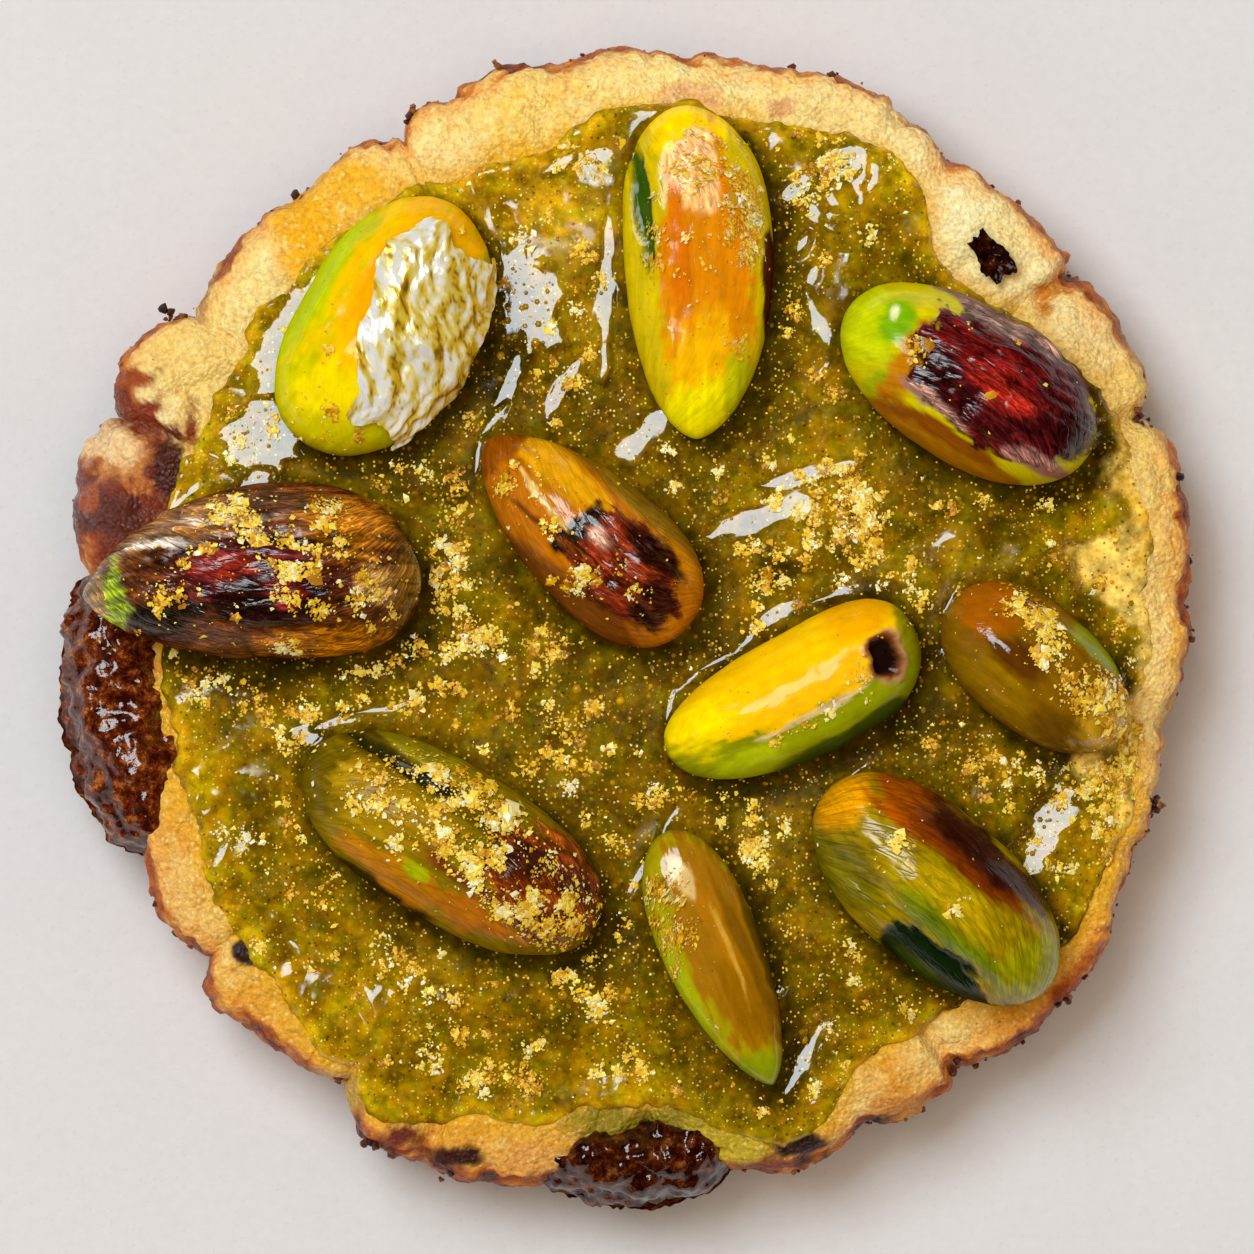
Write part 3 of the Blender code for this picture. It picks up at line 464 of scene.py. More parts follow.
def dough_material(s):
    """Baked shortbread crumb: grainy and a little translucent, with butter and sugar that glint."""
    material, tree, shader, place = new_material(
        "baked shortbread crumb", subsurface_weight=0.25, subsurface_scale=1.0 * MM, ior=1.45,
        specular_ior_level=0.25, coat_roughness=0.1)
    shader.inputs["Subsurface Radius"].default_value = (1.0, 0.6, 0.25)
    join(tree, shader, carried(tree, "glaze"), "Coat Weight")
    grain = clouds(tree, place, 0.3 * MM, 3.0, 0.75)
    cells = add(tree, "TexVoronoi", {"Vector": place, "Scale": 1 / (0.5 * MM)}).outputs["Distance"]
    tone = times(tree, spread(tree, grain, 0.36, 0.64, 0.92, 1.3), spread(tree, cells, 0.15, 0.7, 1.08, 0.95))
    colour = scaled(tree, painted(tree), tone)
    deep = add(tree, "VectorMath", {0: colour, 1: (0.88, 0.66, 0.4)}, operation="MULTIPLY").outputs[0]
    pits = clouds(tree, place, 0.55 * MM, 4.0, 0.7)
    colour = mix(tree, spread(tree, pits, 0.4, 0.5, 0.42, 0.0), colour, deep)
    colour = mix(tree, times(tree, dots(tree, place, 0.7 * MM, 0.12, 0.05), 0.5), colour, rgba(s.burnt))
    light = add(tree, "RGBToBW", {"Color": painted(tree)}).outputs[0]
    sugary = times(tree, dots(tree, place, 0.36 * MM, 0.36, 0.4), spread(tree, light, 0.2, 0.5, 0.0, 0.6))
    colour = mix(tree, sugary, colour, rgba(s.pale))
    join(tree, shader, colour, "Base Color")
    sugar = add(tree, "TexVoronoi", {"Vector": place, "Scale": 1 / (0.3 * MM)}).outputs["Distance"]
    join(tree, shader, spread(tree, sugar, 0.1, 0.6, 0.3, 0.75), "Roughness")
    height = add(tree, "Math", {0: grain, 1: sugar}, operation="SUBTRACT").outputs[0]
    relief = raised(tree, height, 0.17 * MM, 0.9)
    join(tree, shader, relief, "Normal", "Coat Normal")
    return material


def paste_material(s):
    """Ground pistachio in oil: a speckled olive body under wet oil, smoother where the oil stands deep."""
    material, tree, shader, place = new_material(
        "ground pistachio paste", subsurface_weight=0.08, subsurface_scale=0.7 * MM, roughness=0.7,
        specular_ior_level=0.0, coat_weight=1.0, coat_roughness=0.03, coat_ior=1.62)
    shader.inputs["Subsurface Radius"].default_value = (1.0, 0.8, 0.1)
    wet = carried(tree, "wet")
    tone = times(tree, spread(tree, clouds(tree, place, 2.4 * MM, 4.0, 0.7), 0.36, 0.64, 0.52, 1.46),
                 spread(tree, clouds(tree, place, 0.8 * MM, 3.0, 0.6), 0.38, 0.62, 0.72, 1.28))
    green = spread(tree, clouds(tree, place, 1.3 * MM, 3.0, 0.65), 0.42, 0.6, 0.0, 0.75)
    colour = scaled(tree, mix(tree, green, painted(tree), painted(tree, "greener")), tone)
    join(tree, shader, spread(tree, wet, 0.4, 0.85, 0.04, 1.0), "Coat Weight")
    colour = mix(tree, times(tree, dots(tree, place, 0.46 * MM, 0.36, 0.3), 0.45), colour, rgba(s.ground))
    colour = mix(tree, times(tree, dots(tree, place, 0.36 * MM, 0.3, 0.2), 0.7), colour, rgba(s.speck))
    clump = spread(tree, clouds(tree, place, 1.6 * MM, 3.0, 0.6), 0.42, 0.6, 0.25, 1.0)
    dust = times(tree, dots(tree, place, 0.24 * MM, 0.36, 0.24), clump)
    colour = mix(tree, dust, colour, rgba(s.dust))
    join(tree, shader, colour, "Base Color")
    ripple = clouds(tree, place, 0.36 * MM, 4.0, 0.65)
    rough = spread(tree, wet, 0.0, 0.9, 0.8, 0.05)
    relief = raised(tree, ripple, 0.1 * MM, rough)
    join(tree, shader, relief, "Coat Normal", "Normal")
    return material


def kernel_material(s):
    """Oiled pistachio kernel: waxy and slightly translucent under oil, with fibres that run along it."""
    material, tree, shader, place = new_material(
        "oiled pistachio kernel", subsurface_weight=0.1, subsurface_scale=0.8 * MM, roughness=0.6,
        specular_ior_level=0.0, coat_roughness=0.06, coat_ior=1.55)
    shader.inputs["Subsurface Radius"].default_value = (1.0, 0.7, 0.1)
    lie = add(tree, "Attribute", attribute_name="lie").outputs["Vector"]
    oil = carried(tree, "oil")
    skin = carried(tree, "skin")
    join(tree, shader, oil, "Coat Weight")
    fibre = clouds(tree, lie, 1.0, 6.0, 0.75)
    mottle = clouds(tree, place, 0.8 * MM, 4.0, 0.65)
    bent = add(tree, "VectorMath", {0: lie, 1: scaled(tree, add(tree, "TexNoise", {
        "Vector": lie, "Scale": 0.7, "Detail": 3.0}).outputs["Color"], 1.3)}, operation="ADD").outputs[0]
    creases = []
    for size in ((1.5, 0.5, 1.0), (3.6, 1.1, 1.0)):
        pulled = add(tree, "VectorMath", {0: bent, 1: size}, operation="MULTIPLY").outputs[0]
        edges = add(tree, "TexVoronoi", {"Vector": pulled, "Scale": 1.0}, feature="DISTANCE_TO_EDGE")
        creases.append(edges.outputs["Distance"])
    # Painted shade darkens the skin's creases, and thin ridge lines are painted up to 2.4 times lighter as
    # painted highlights.
    crease = times(tree, spread(tree, creases[0], 0.0, 0.14, 1.0, 0.0),
                   spread(tree, skin, 0.0, 1.0, 0.0, 1.0))
    painted_ridge_highlight = times(tree, spread(tree, creases[1], 0.0, 0.1, 1.0, 0.0), spread(tree, skin, 0.5, 1.0, 0.0, 1.0))
    tone = times(tree, spread(tree, fibre, 0.36, 0.64, spread(tree, skin, 0.0, 1.0, 0.96, 0.62),
                              spread(tree, skin, 0.0, 1.0, 1.04, 1.4)),
                 spread(tree, mottle, 0.3, 0.7, 0.9, 1.1), spread(tree, crease, 0.0, 1.0, 1.04, 0.5),
                 spread(tree, painted_ridge_highlight, 0.0, 1.0, 1.0, 2.4))
    colour = scaled(tree, painted(tree), tone)
    colour = mix(tree, times(tree, dots(tree, place, 0.55 * MM, 0.14, 0.22), 0.5), colour, rgba(s.pin))
    join(tree, shader, colour, "Base Color")
    folded = add(tree, "Math", {0: times(tree, fibre, skin), 1: crease}, operation="SUBTRACT").outputs[0]
    relief = raised(tree, folded, 0.09 * MM, 0.7)
    join(tree, shader, relief, "Normal")
    both = add(tree, "Math", {0: mottle, 1: folded}, operation="ADD").outputs[0]
    soft = raised(tree, both, 0.06 * MM, 0.45)
    join(tree, shader, soft, "Coat Normal")
    return material


def gold_material(name, roughness, metallic, crease, creased=0.6):
    """Beaten gold: bright metal whose creases throw white and deep amber glints."""
    material, tree, shader, place = new_material(
        name, metallic=metallic, roughness=roughness, specular_ior_level=0.6)
    join(tree, shader, painted(tree), "Base Color")
    relief = raised(tree, clouds(tree, place, crease, 4.0, 0.7), 0.05 * MM, creased)
    join(tree, shader, relief, "Normal")
    return material


def chocolate_material(s, name="melted dark chocolate"):
    """Melted and set dark chocolate with burnt caramel in it: glossy, red-brown in the thin places."""
    material, tree, shader, place = new_material(
        name, subsurface_weight=0.05, subsurface_scale=0.6 * MM, roughness=0.6,
        specular_ior_level=0.0, coat_roughness=0.05, coat_ior=1.55)
    cloud = clouds(tree, place, 1.0 * MM, 5.0, 0.8)
    tone = add(tree, "ValToRGB", {"Fac": cloud}, stops=(
        (0.43, rgba(s.dark)), (0.66, rgba(s.caramel)), (0.54, rgba(s.brown)))).outputs[0]
    join(tree, shader, scaled(tree, tone, carried(tree, "gain")), "Base Color")
    relief = raised(tree, clouds(tree, place, 0.6 * MM, 3.0, 0.6), 0.1 * MM, 0.6)
    join(tree, shader, relief, "Normal", "Coat Normal")
    join(tree, shader, carried(tree, "glaze"), "Coat Weight")
    return material


# ---- dough ------------------------------------------------------------------------------------------

# Cracks that stand open between lobes: angle, half width in degrees, how open.
OPEN_CRACKS = ((38, 6, 1.0), (22, 5, 1.0), (157, 5, 0.9), (175, 6, 1.0), (145, 6, 0.6), (115, 5, 0.7),
               (245, 6, 0.8), (221, 5, 0.5), (308, 6, 0.6), (95, 4, 0.5))
BLEND = 0.45 * MM
RAGGED = 0.45 * MM


def near_angle(angles, table):
    """The greatest strength, at each angle, of a table of angle, half width and strength."""
    found = np.zeros(angles.shape)
    for centre, half, much in table:
        off = (angles - centre + 180) % 360 - 180
        found = np.maximum(found, much * np.exp(-(off / half) ** 2))
    return found


def rim(angles):
    """The dough's reach at each angle, the rise of its lobe, and how much of a crack is there."""
    table = np.array(LOBES, float)
    off = (angles[..., None] - table[:, 0] + 180.0) % 360.0 - 180.0
    reaches = table[:, 1] * MM - LOBE_DROP * (off / table[:, 2]) ** 2
    order = np.argsort(-reaches, axis=-1)[..., :2]
    best = np.take_along_axis(reaches, order, -1)
    rises = table[:, 3][order] * MM
    crack = np.exp(-((best[..., 0] - best[..., 1]) / CRACK_WIDTH) ** 2)
    rise = rises[..., 0] * (1 - crack / 2) + rises[..., 1] * crack / 2
    whole = best[..., 0] + BLEND * np.log1p(np.exp(-(best[..., 0] - best[..., 1]) / BLEND))
    open_share = 0.12 + 0.88 * near_angle(angles, OPEN_CRACKS)
    crack = crack * open_share
    reach = whole * (1 - open_share) + best[..., 0] * open_share - CRACK_CUT * crack
    turn = np.radians(angles)
    ring = 34 * MM * np.stack([np.cos(turn), np.sin(turn), np.zeros_like(turn)], -1)
    return reach + RAGGED * crags(ring, 2.2 * MM, 4, 81), rise, crack


def angle_of(places):
    """The angle of each place, in degrees from +X."""
    return np.degrees(np.arctan2(places[:, 1], places[:, 0]))


def laid_flat(places):
    """Places as points at height 0, to look patterns up by."""
    return np.column_stack([places, np.zeros(len(places))])


def dough_height(angles, radii):
    """The smooth height of the dough's top."""
    reach, rise, crack = rim(angles)
    table = np.array(SECTION[6:], float)
    share = np.interp(reach - radii, table[:, 0] * MM, table[:, 2])
    near_rim = np.clip((radii - BED_REACH) / (6.0 * MM), 0, 1)
    return DOUGH_TOP + rise * share - CRACK_DIP * crack * near_rim


# Where the rim is browned: angle, half width in degrees, how much, how far in from the edge in millimetres.
TOASTED = (
    (103, 8, 0.8, 0.9), (88, 5, 0.35, 0.9), (112, 5, 0.65, 1.2), (122, 6, 0.62, 1.0), (137, 9, 0.66, 1.0),
    (150, 4, 0.75, 1.2), (158, 6, 0.8, 2.6), (167, 8, 0.95, 5.0), (190, 12, 0.7, 1.2), (210, 7, 0.65, 0.9),
    (219, 4, 0.6, 0.9), (228, 5, 0.85, 1.0), (238, 5, 0.6, 0.8), (245, 6, 0.95, 1.6), (254, 7, 0.9, 1.3),
    (268, 12, 0.7, 1.2), (285, 6, 0.7, 0.9), (299, 6, 0.95, 1.1), (312, 7, 0.9, 1.6), (320, 9, 0.6, 2.0),
           (325, 7, 0.75, 0.8),
    (337, 6, 0.7, 0.7), (350, 8, 0.62, 0.8), (2, 8, 0.66, 0.8), (13, 5, 0.85, 1.0), (23, 3, 1.0, 1.4),
    (34, 7, 0.55, 0.8), (50, 12, 0.42, 0.6), (75, 6, 0.3, 0.5), (130, 6, 0.5, 0.8), (146, 6, 0.6, 0.9),
    (232, 20, 0.55, 1.6), (303, 12, 0.55, 1.8),
)
# Where the dough keeps its pale cream colour: elsewhere oil and heat have turned it golden.
PALE_SIDE = ((85, 55, 1.0), (140, 25, 0.8), (215, 8, 0.35), (352, 5, 0.4))
# Where sugar makes it nearly white.
SUGARY_SIDE = ((50, 22, 1.0), (157, 5, 0.6), (307, 4, 0.8), (296, 3, 0.7))


def along_ramp(value, stops):
    """Colours along a ramp of places and hex colours."""
    places = [place for place, _ in stops]
    colours = np.array([linear(colour) for _, colour in stops])
    return np.stack([np.interp(value, places, colours[:, n]) for n in range(3)], -1)


def over(under, colour, share):
    """A colour laid over painted colours."""
    return under + (np.asarray(colour)[:3] - under) * np.clip(share, 0, 1)[..., None]


# Stains and toasted spots on the dough, and painted highlights on its knob: middle, half sizes, how soft,
# colour.
DOUGH_SPOTS = (
    (-19.3, 24.2, 2.0, 3.6, 0.9, "#F9B406"), (-16.5, 27.0, 2.6, 1.5, 0.9, "#F6BA2A"),
    (-25.6, 15.6, 2.6, 4.2, 0.9, "#F6D27A"), (-22.0, 19.5, 1.6, 2.2, 1.0, "#F4D88C"),
    # On the knob: a dark red-brown base, a peach top that is partly baked colour and partly a painted
    # highlight, and a pale painted highlight over it.
    (-30.0, 8.8, 4.2, 5.2, 0.3, "#7A2C0C"), (-30.9, 10.9, 2.1, 1.9, 0.5, "#C8803C"),
               (-31.0, 11.2, 1.6, 1.3, 0.5, "#F0C890"),
    (-27.6, 9.6, 1.0, 2.4, 0.3, "#4A1606"), (-31.4, 7.0, 2.4, 1.5, 0.3, "#5A1C06"),
               (-29.6, 8.6, 0.9, 0.5, 0.3, "#B86A2C"), (-32.6, 7.8, 0.7, 0.9, 0.3, "#A0481A"),
               (-30.0, 15.2, 0.9, 0.5, 0.7, "#A04A16"),
    (-29.0, 13.4, 1.3, 0.5, 0.7, "#8A300A"), (-26.4, 12.0, 0.5, 1.0, 0.7, "#8A3A12"),
    (-23.1, -20.0, 0.9, 0.8, 0.4, "#2E0E05"), (-17.4, -25.2, 0.7, 0.5, 0.4, "#4A1A08"),
    (25.8, 19.5, 0.5, 0.9, 0.8, "#C77F22"), (26.6, 20.8, 1.5, 0.3, 0.7, "#D08A2C"),
    (32.0, 2.9, 0.4, 0.5, 0.4, "#6A1E08"), (31.5, 10.5, 1.6, 6.0, 1.0, "#F4CC70"),
    (32.4, -1.0, 1.2, 7.0, 1.0, "#F4CE7C"), (13.5, 31.0, 3.5, 1.2, 1.0, "#F8DA90"),
    (4.0, 32.5, 2.0, 1.0, 0.8, "#EDB878"), (9.8, 31.8, 0.9, 0.7, 0.6, "#E0AC70"),
    (-3.0, -33.2, 2.2, 1.0, 0.6, "#7A300C"), (8.5, -33.0, 1.6, 0.9, 0.6, "#8A3C10"),
    (-13.5, -31.0, 1.4, 0.9, 0.6, "#6A2408"), (-10.0, -32.4, 1.6, 0.7, 0.6, "#3E1206"),
               (10.5, -31.9, 2.2, 0.8, 0.6, "#2E0E06"),
    (6.0, -31.0, 1.6, 0.7, 0.6, "#5A2A08"), (-6.0, -32.5, 2.0, 0.9, 0.8, "#E0A450"),
    (1.5, -30.4, 5.4, 1.3, 0.8, "#94800E"), (7.2, -31.2, 2.6, 1.5, 0.7, "#BFA61E"),
               (-17.0, -28.4, 2.6, 1.4, 1.0, "#C89C2C"),
    (21.5, -27.5, 1.2, 0.8, 0.6, "#9A4A14"), (17.5, -29.5, 1.8, 0.8, 0.7, "#D08C3A"),
)
# Where syrup has run over the rim and set glossy: middle, half size.
GLAZED = ((-30.2, 9.2, 5.0), (-27.0, 14.5, 2.0), (-25.5, 15.5, 3.5), (0.5, -33.0, 4.0), (-22.9, -20.0, 1.2))


def build_dough(s):
    """The dough round, browned at its edge, replacing its plain solid."""
    columns, rows = s.steps_round, s.steps_section
    angles = np.linspace(0, 360, columns, endpoint=False)
    reach, rise, crack = rim(angles)
    section = through(SECTION, rows)
    inset = section[:, 0:1] * MM
    radii = reach[None] - inset
    height = section[:, 1:2] * MM + section[:, 2:3] * rise[None]
    near_rim = ease(section[:, 1:2], 6.0, 10.0) * np.clip((radii - BED_REACH) / (6.0 * MM), 0, 1)
    height = np.maximum(height - CRACK_DIP * crack[None] * near_rim, 0.0)
    turn = np.radians(angles)[None]
    grid = np.stack([radii * np.cos(turn), radii * np.sin(turn), height], -1)
    smooth = grid.copy()
    out = normals_of(grid)
    on_side = 1 - ease(height, 7.5 * MM, 9.8 * MM)
    lumps = pebbles(smooth + 0.5 * MM * crags(smooth, 1.2 * MM, 2, 19)[..., None], 3.0 * MM, 14)
    crevice = 1 - ease(lumps, 0.28, 0.5)
    crumbs = pebbles(smooth, 1.15 * MM, 4)
    torn = np.maximum(0, crags(grid, 1.4 * MM, 3, 17) - 0.22) * (0.25 + on_side)
    relief = s.crag_height * (crags(grid, 2.8 * MM, 3, 2) * (0.5 + 0.6 * on_side) - 0.7 * crevice)
    relief += s.grain_height * (crumbs - 0.35) * (1.0 + 0.6 * on_side)
    relief += (0.7 * s.grain_height * (pebbles(smooth, 0.62 * MM, 6) - 0.4) + 0.5 * s.grain_height
               * crags(grid, 0.5 * MM, 2, 9))
    relief -= 1.2 * s.crag_height * torn
    relief *= 0.4 + 0.6 * ease(height, 4.0 * MM, 8.0 * MM)
    grid = grid + out * (relief * np.clip(height / (0.8 * MM), 0, 1))[..., None]

    patchy = crags(smooth, 1.6 * MM, 4, 31)
    fine = crags(grid, 0.7 * MM, 2, 57)
    broad = crags(smooth, 4.5 * MM, 2, 41)
    brown = 0.42 * (1 - ease(inset + 0.4 * MM * patchy, 0.02 * MM, 0.55 * MM)) * np.ones((1, columns))
    for centre, half, much, far in TOASTED:
        off = (angles - centre + 180) % 360 - 180
        depth = inset + 0.35 * MM * (patchy + 0.6 * fine) * min(far, 2.5)
        edge = 1 - ease(depth, 0.05 * far * MM, 0.75 * far * MM)
        broken = np.clip(0.78 + 1.1 * crags(smooth, 1.9 * MM, 3, 33), 0.1, 1.1) if far < 2 else 1.0
        brown = np.maximum(brown, much * np.exp(-(off / half) ** 2)[None] * edge * broken)
    brown = np.where(section[:, 1:2] < 2.8, np.maximum(brown, 0.4 + 0.4 * patchy), brown)
    near_edge = 1 - ease(inset, 1.0 * MM, 4.5 * MM)
    # Torn places, cracks and the crevices between lumps, all low in the relief, are painted browner.
    brown = (brown * (1 + 0.55 * patchy + 0.45 * fine) + 0.15 * torn * (brown > 0.1) + 0.3 * crack[None] ** 3
             * near_edge)
    brown = brown + crevice * (0.05 + 0.14 * near_edge) * (0.6 + patchy)
    wet = visual_reach(angles)[None]
    stained = 1 - ease(radii - wet + 0.8 * MM * broad, -0.3 * MM, 2.2 * MM)
    tint = over(np.broadcast_to(np.array(s.cream), grid.shape), s.pale,
                0.5 + 0.7 * broad + 0.6 * (crumbs - 0.4) + 0.2 * fine)
    golden = (1 - near_angle(angles, PALE_SIDE))[None] * (0.85 + 0.4 * patchy + 0.3 * fine)
    tint = over(tint, s.golden, golden * (height > 7 * MM))
    tint = over(tint, s.sugary, near_angle(angles, SUGARY_SIDE)[None] * (0.65 + 0.6 * patchy))
    peachy = (1 - ease(inset, 0.3 * MM, 1.9 * MM)) * (0.5 + 0.9 * crags(smooth, 3.0 * MM, 2, 47) + 0.3 * fine)
    tint = over(tint, s.peach, peachy)
    tint = over(tint, s.stained, stained * (0.75 + 0.4 * patchy + 0.3 * fine))
    low = ease(-smooth[..., 1:2], 6 * MM, 24 * MM)
    tint = tint * (1 - low * np.array([0.05, 0.09, 0.3]))
    toast = along_ramp(brown, ((0.1, "#F2B45A"), (0.28, "#D88428"), (0.5, "#A84E14"), (0.75, "#6A260A"),
                               (1.1, "#260C05")))
    tint = tint + (toast - tint) * ease(brown, 0.08, 0.3)[..., None]
    glaze = 0.28 + 0.5 * stained
    for x, y, half_x, half_y, soft, colour in DOUGH_SPOTS:
        far = np.hypot((smooth[..., 0] / MM - x) / half_x, (smooth[..., 1] / MM - y) / half_y)
        far = np.where(height > 5 * MM, far, 9.0)
        tint = over(tint, linear(colour), ease(1 - far + 0.6 * patchy + 0.3 * fine, -soft / 2, soft / 2))
    for x, y, half in GLAZED:
        far = np.hypot(smooth[..., 0] / MM - x, smooth[..., 1] / MM - y) / half
        glaze = np.maximum(glaze, ease(1.3 - far, 0.0, 0.6))
    glaze = np.append(np.clip(glaze, 0, 1).ravel(), (0, 0))
    points = np.vstack([grid.reshape(-1, 3), [(0, 0, 0), (0, 0, DOUGH_TOP)]])
    tint = np.vstack([tint.reshape(-1, 3), np.array([s.stained, s.stained])])
    made = mesh_object("dough_round", points, loft_faces(rows, columns), dough_material(s), tint, glaze=glaze)
    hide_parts("cookie_dough")


# ---- kernels ----------------------------------------------------------------------------------------

def kernel_share(k, along):
    """How broad a kernel is at each place along it, as a share of its width."""
    ahead = np.clip((along - k.widest) / (1 - k.widest), 0, 1)
    behind = np.clip((k.widest - along) / (1 + k.widest), 0, 1)
    return np.where(along > k.widest, (1 - ahead ** k.tip_full) ** k.tip_point,
                    (1 - behind ** k.tail_full) ** k.tail_point)


def kernel_points(k, along, turn, grow=0.0):
    """Points of a kernel's skin: along it from -1 to 1, and turn degrees round it, 90 being its top."""
    share = kernel_share(k, along)
    below = KERNEL_BELOW * k.thick * MM
    above = k.thick * MM - below
    across, up = np.cos(np.radians(turn)), np.sin(np.radians(turn))
    more = grow * np.minimum(1, share * 4)
    side = k.bow * MM * (1 - along ** 2) + (k.width * MM / 2 * share + more) * across
    tall = share ** END_TAPER
    top = (above * tall + more) * up
    if k.flat:
        top = k.flat * MM * np.tanh(top / (k.flat * MM))
    top = top - k.groove * MM * np.exp(-((side - k.furrow * MM) / FURROW_WIDTH) ** 2) * tall * up
    low = np.maximum((below * tall + more) * up, -below * KERNEL_FOOT - grow)
    height = np.where(up > 0, top, low)
    length = along * (k.length * MM / 2 + grow)
    tilt = math.radians(-k.tilt)
    length, height = (length * math.cos(tilt) - height * math.sin(tilt),
                      length * math.sin(tilt) + height * math.cos(tilt))
    heading = math.radians(k.heading)
    rest = DOUGH_TOP + KERNEL_REST + below * KERNEL_FOOT + k.lift * MM
    return np.stack([k.x * MM + length * math.cos(heading) - side * math.sin(heading),
                     k.y * MM + length * math.sin(heading) + side * math.cos(heading),
                     rest + height], -1)


def build_kernel(k, s, material):
    """One whole kernel with its wrinkles and its dabs of colour."""
    rows, columns = s.steps_along, s.steps_round
    along = -np.cos(np.pi * np.arange(1, rows + 1) / (rows + 1))[:, None]
    seen = int(columns * 0.8)
    turn = np.concatenate([np.linspace(-12, 192, seen, endpoint=False),
                           np.linspace(192, 348, columns - seen, endpoint=False)])[None]
    along, turn = np.broadcast_arrays(along, turn)
    grid = kernel_points(k, along, turn)
    out = unit(kernel_points(k, along, turn, 0.05 * MM) - grid)
    share = kernel_share(k, along)
    v = share * np.cos(np.radians(turn))
    flat = np.stack([along * k.length / 2, v * k.width / 2, np.full(along.shape, k.x + k.y)], -1)
    round_mm = np.radians(turn) * share * k.width / 2
    lie = np.stack([along * k.length / 2 / 3.2, round_mm / 0.42, np.full(along.shape, k.x)], -1)
    fibrous = FIBROUS[k.name]
    streaks = crags(flat / np.array([3.2, 0.42, 1.0]), 1.0, 4, 5)
    speckle = crags(flat, 0.9, 3, 35)
    along_to = along + 0.045 * crags(flat, 2.5, 3, 15)
    v_to = v + 0.1 * crags(flat / np.array([1.8, 1.0, 1.0]), 1.6, 3, 25)
    tint = np.broadcast_to(np.array(linear(k.base)), grid.shape)
    rise = np.zeros(along.shape)
    rough = np.full(along.shape, s.wrinkle)
    for dab in k.dabs:
        far = np.hypot((along_to - dab.u) / dab.half_u,
                       (v_to - dab.v - dab.lean * (along_to - dab.u)) / dab.half_v)
        reach = 1 - far + (0.07 + 0.5 * dab.soft) * streaks + 0.2 * speckle
        mask = ease(reach, -dab.soft / 2, dab.soft / 2)
        tint = over(tint, linear(dab.colour), mask)
        gentle = ease(reach, -0.15, 0.25) if dab.rise < 0 else mask
        rise = rise + dab.rise * MM * gentle
        rough = rough + dab.wrinkle * MM * gentle
    lines = [bumps(flat / np.array([long, wide, 1.0]), 1.0, salt)
             for long, wide, salt in ((3.4, 0.8, 7), (1.9, 0.4, 9), (1.1, 0.22, 11))]
    crease_grooves = sum(much * np.exp(-(line / 0.1) ** 2) for much, line in zip((1.0, 0.8, 0.5), lines))
    skin = np.clip((rough / MM - 0.09) / 0.16, 0, 1)
    # Painted shade darkens the grooves of the wrinkles, and painted highlights lighten their ridges.
    shade = (0.22 * fibrous + 0.4 * skin) * crease_grooves
    light = (0.1 + 0.9 * skin) * np.clip(np.abs(lines[1]) * 2.2 - 0.7, 0, 1)
    streaky = (0.03 + 0.28 * fibrous + 0.2 * skin) * streaks + (0.06 + 0.14 * skin) * speckle
    tint = tint * np.clip(1.03 - np.clip(shade, 0, 0.75) + light + streaky, 0.1, 2.2)[..., None]
    ridges = np.abs(lines[0]) + 0.6 * np.abs(lines[1]) + 0.35 * np.abs(lines[2])
    relief = rough * (ridges - 0.55) * 1.1
    relief += s.unevenness * crags(flat, 3.2, 2, 12) + 0.35 * s.unevenness * crags(flat, 1.2, 2, 14)
    relief = (relief + rise) * ease(share, 0.05, 0.45)
    upper = np.clip(np.sin(np.radians(turn)) + 0.25, 0, 1) ** 0.5
    grid = grid + out * (relief * upper)[..., None]
    ends = kernel_points(k, np.array([-1.0, 1.0]), np.array([0.0, 0.0]))
    points = np.vstack([grid.reshape(-1, 3), ends])
    lies = np.vstack([lie.reshape(-1, 3), lie[0, :1], lie[-1, :1]])
    tint = np.vstack([tint.reshape(-1, 3), tint[0, :1], tint[-1, :1]])
    skin = np.append(skin, (0, 0))
    made = mesh_object(k.name + "_skin", points, loft_faces(rows, columns), material, tint, lie=lies,
                       skin=np.clip(skin + 0.7 * fibrous, 0, 1),
                       oil=np.clip(k.oil + skin, 0, 1)
                       * np.append(0.1 + 0.9 * ease(np.sin(np.radians(turn)), 0.2, 0.65), (0, 0)))
    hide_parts(k.name)


def kernel_outline(k, count=200):
    """Points of a kernel's outline as seen from above, evenly spaced."""
    along = -np.cos(np.linspace(0, np.pi, 200))
    sides = [kernel_points(k, along, np.full(200, turn)) for turn in (0.0, 180.0)]
    loop = np.vstack([sides[0], sides[1][-2:0:-1]])[:, :2]
    loop = np.vstack([loop, loop[:1]])
    run = np.append(0, np.cumsum(np.linalg.norm(np.diff(loop, axis=0), axis=1)))
    where = np.linspace(0, run[-1], count, endpoint=False)
    return np.column_stack([np.interp(where, run, loop[:, n]) for n in (0, 1)])


def outside_kernel(k, places):
    """How far each place lies outside a kernel's outline, negative inside it."""
    heading = math.radians(k.heading)
    offset = places - np.array([k.x * MM, k.y * MM])
    length = offset @ np.array([math.cos(heading), math.sin(heading)]) / (k.length * MM / 2)
    side = offset @ np.array([-math.sin(heading), math.cos(heading)]) - k.bow * MM * (1 - length ** 2)
    half = k.width * MM / 2 * kernel_share(k, np.clip(length, -1, 1))
    inside = (np.abs(length) < 1) & (np.abs(side) < half)
    outline = kernel_outline(k)
    near = np.min(np.linalg.norm(places[:, None] - outline[None], axis=-1), axis=1)
    return np.where(inside, -near, near)


# ---- paste ------------------------------------------------------------------------------------------

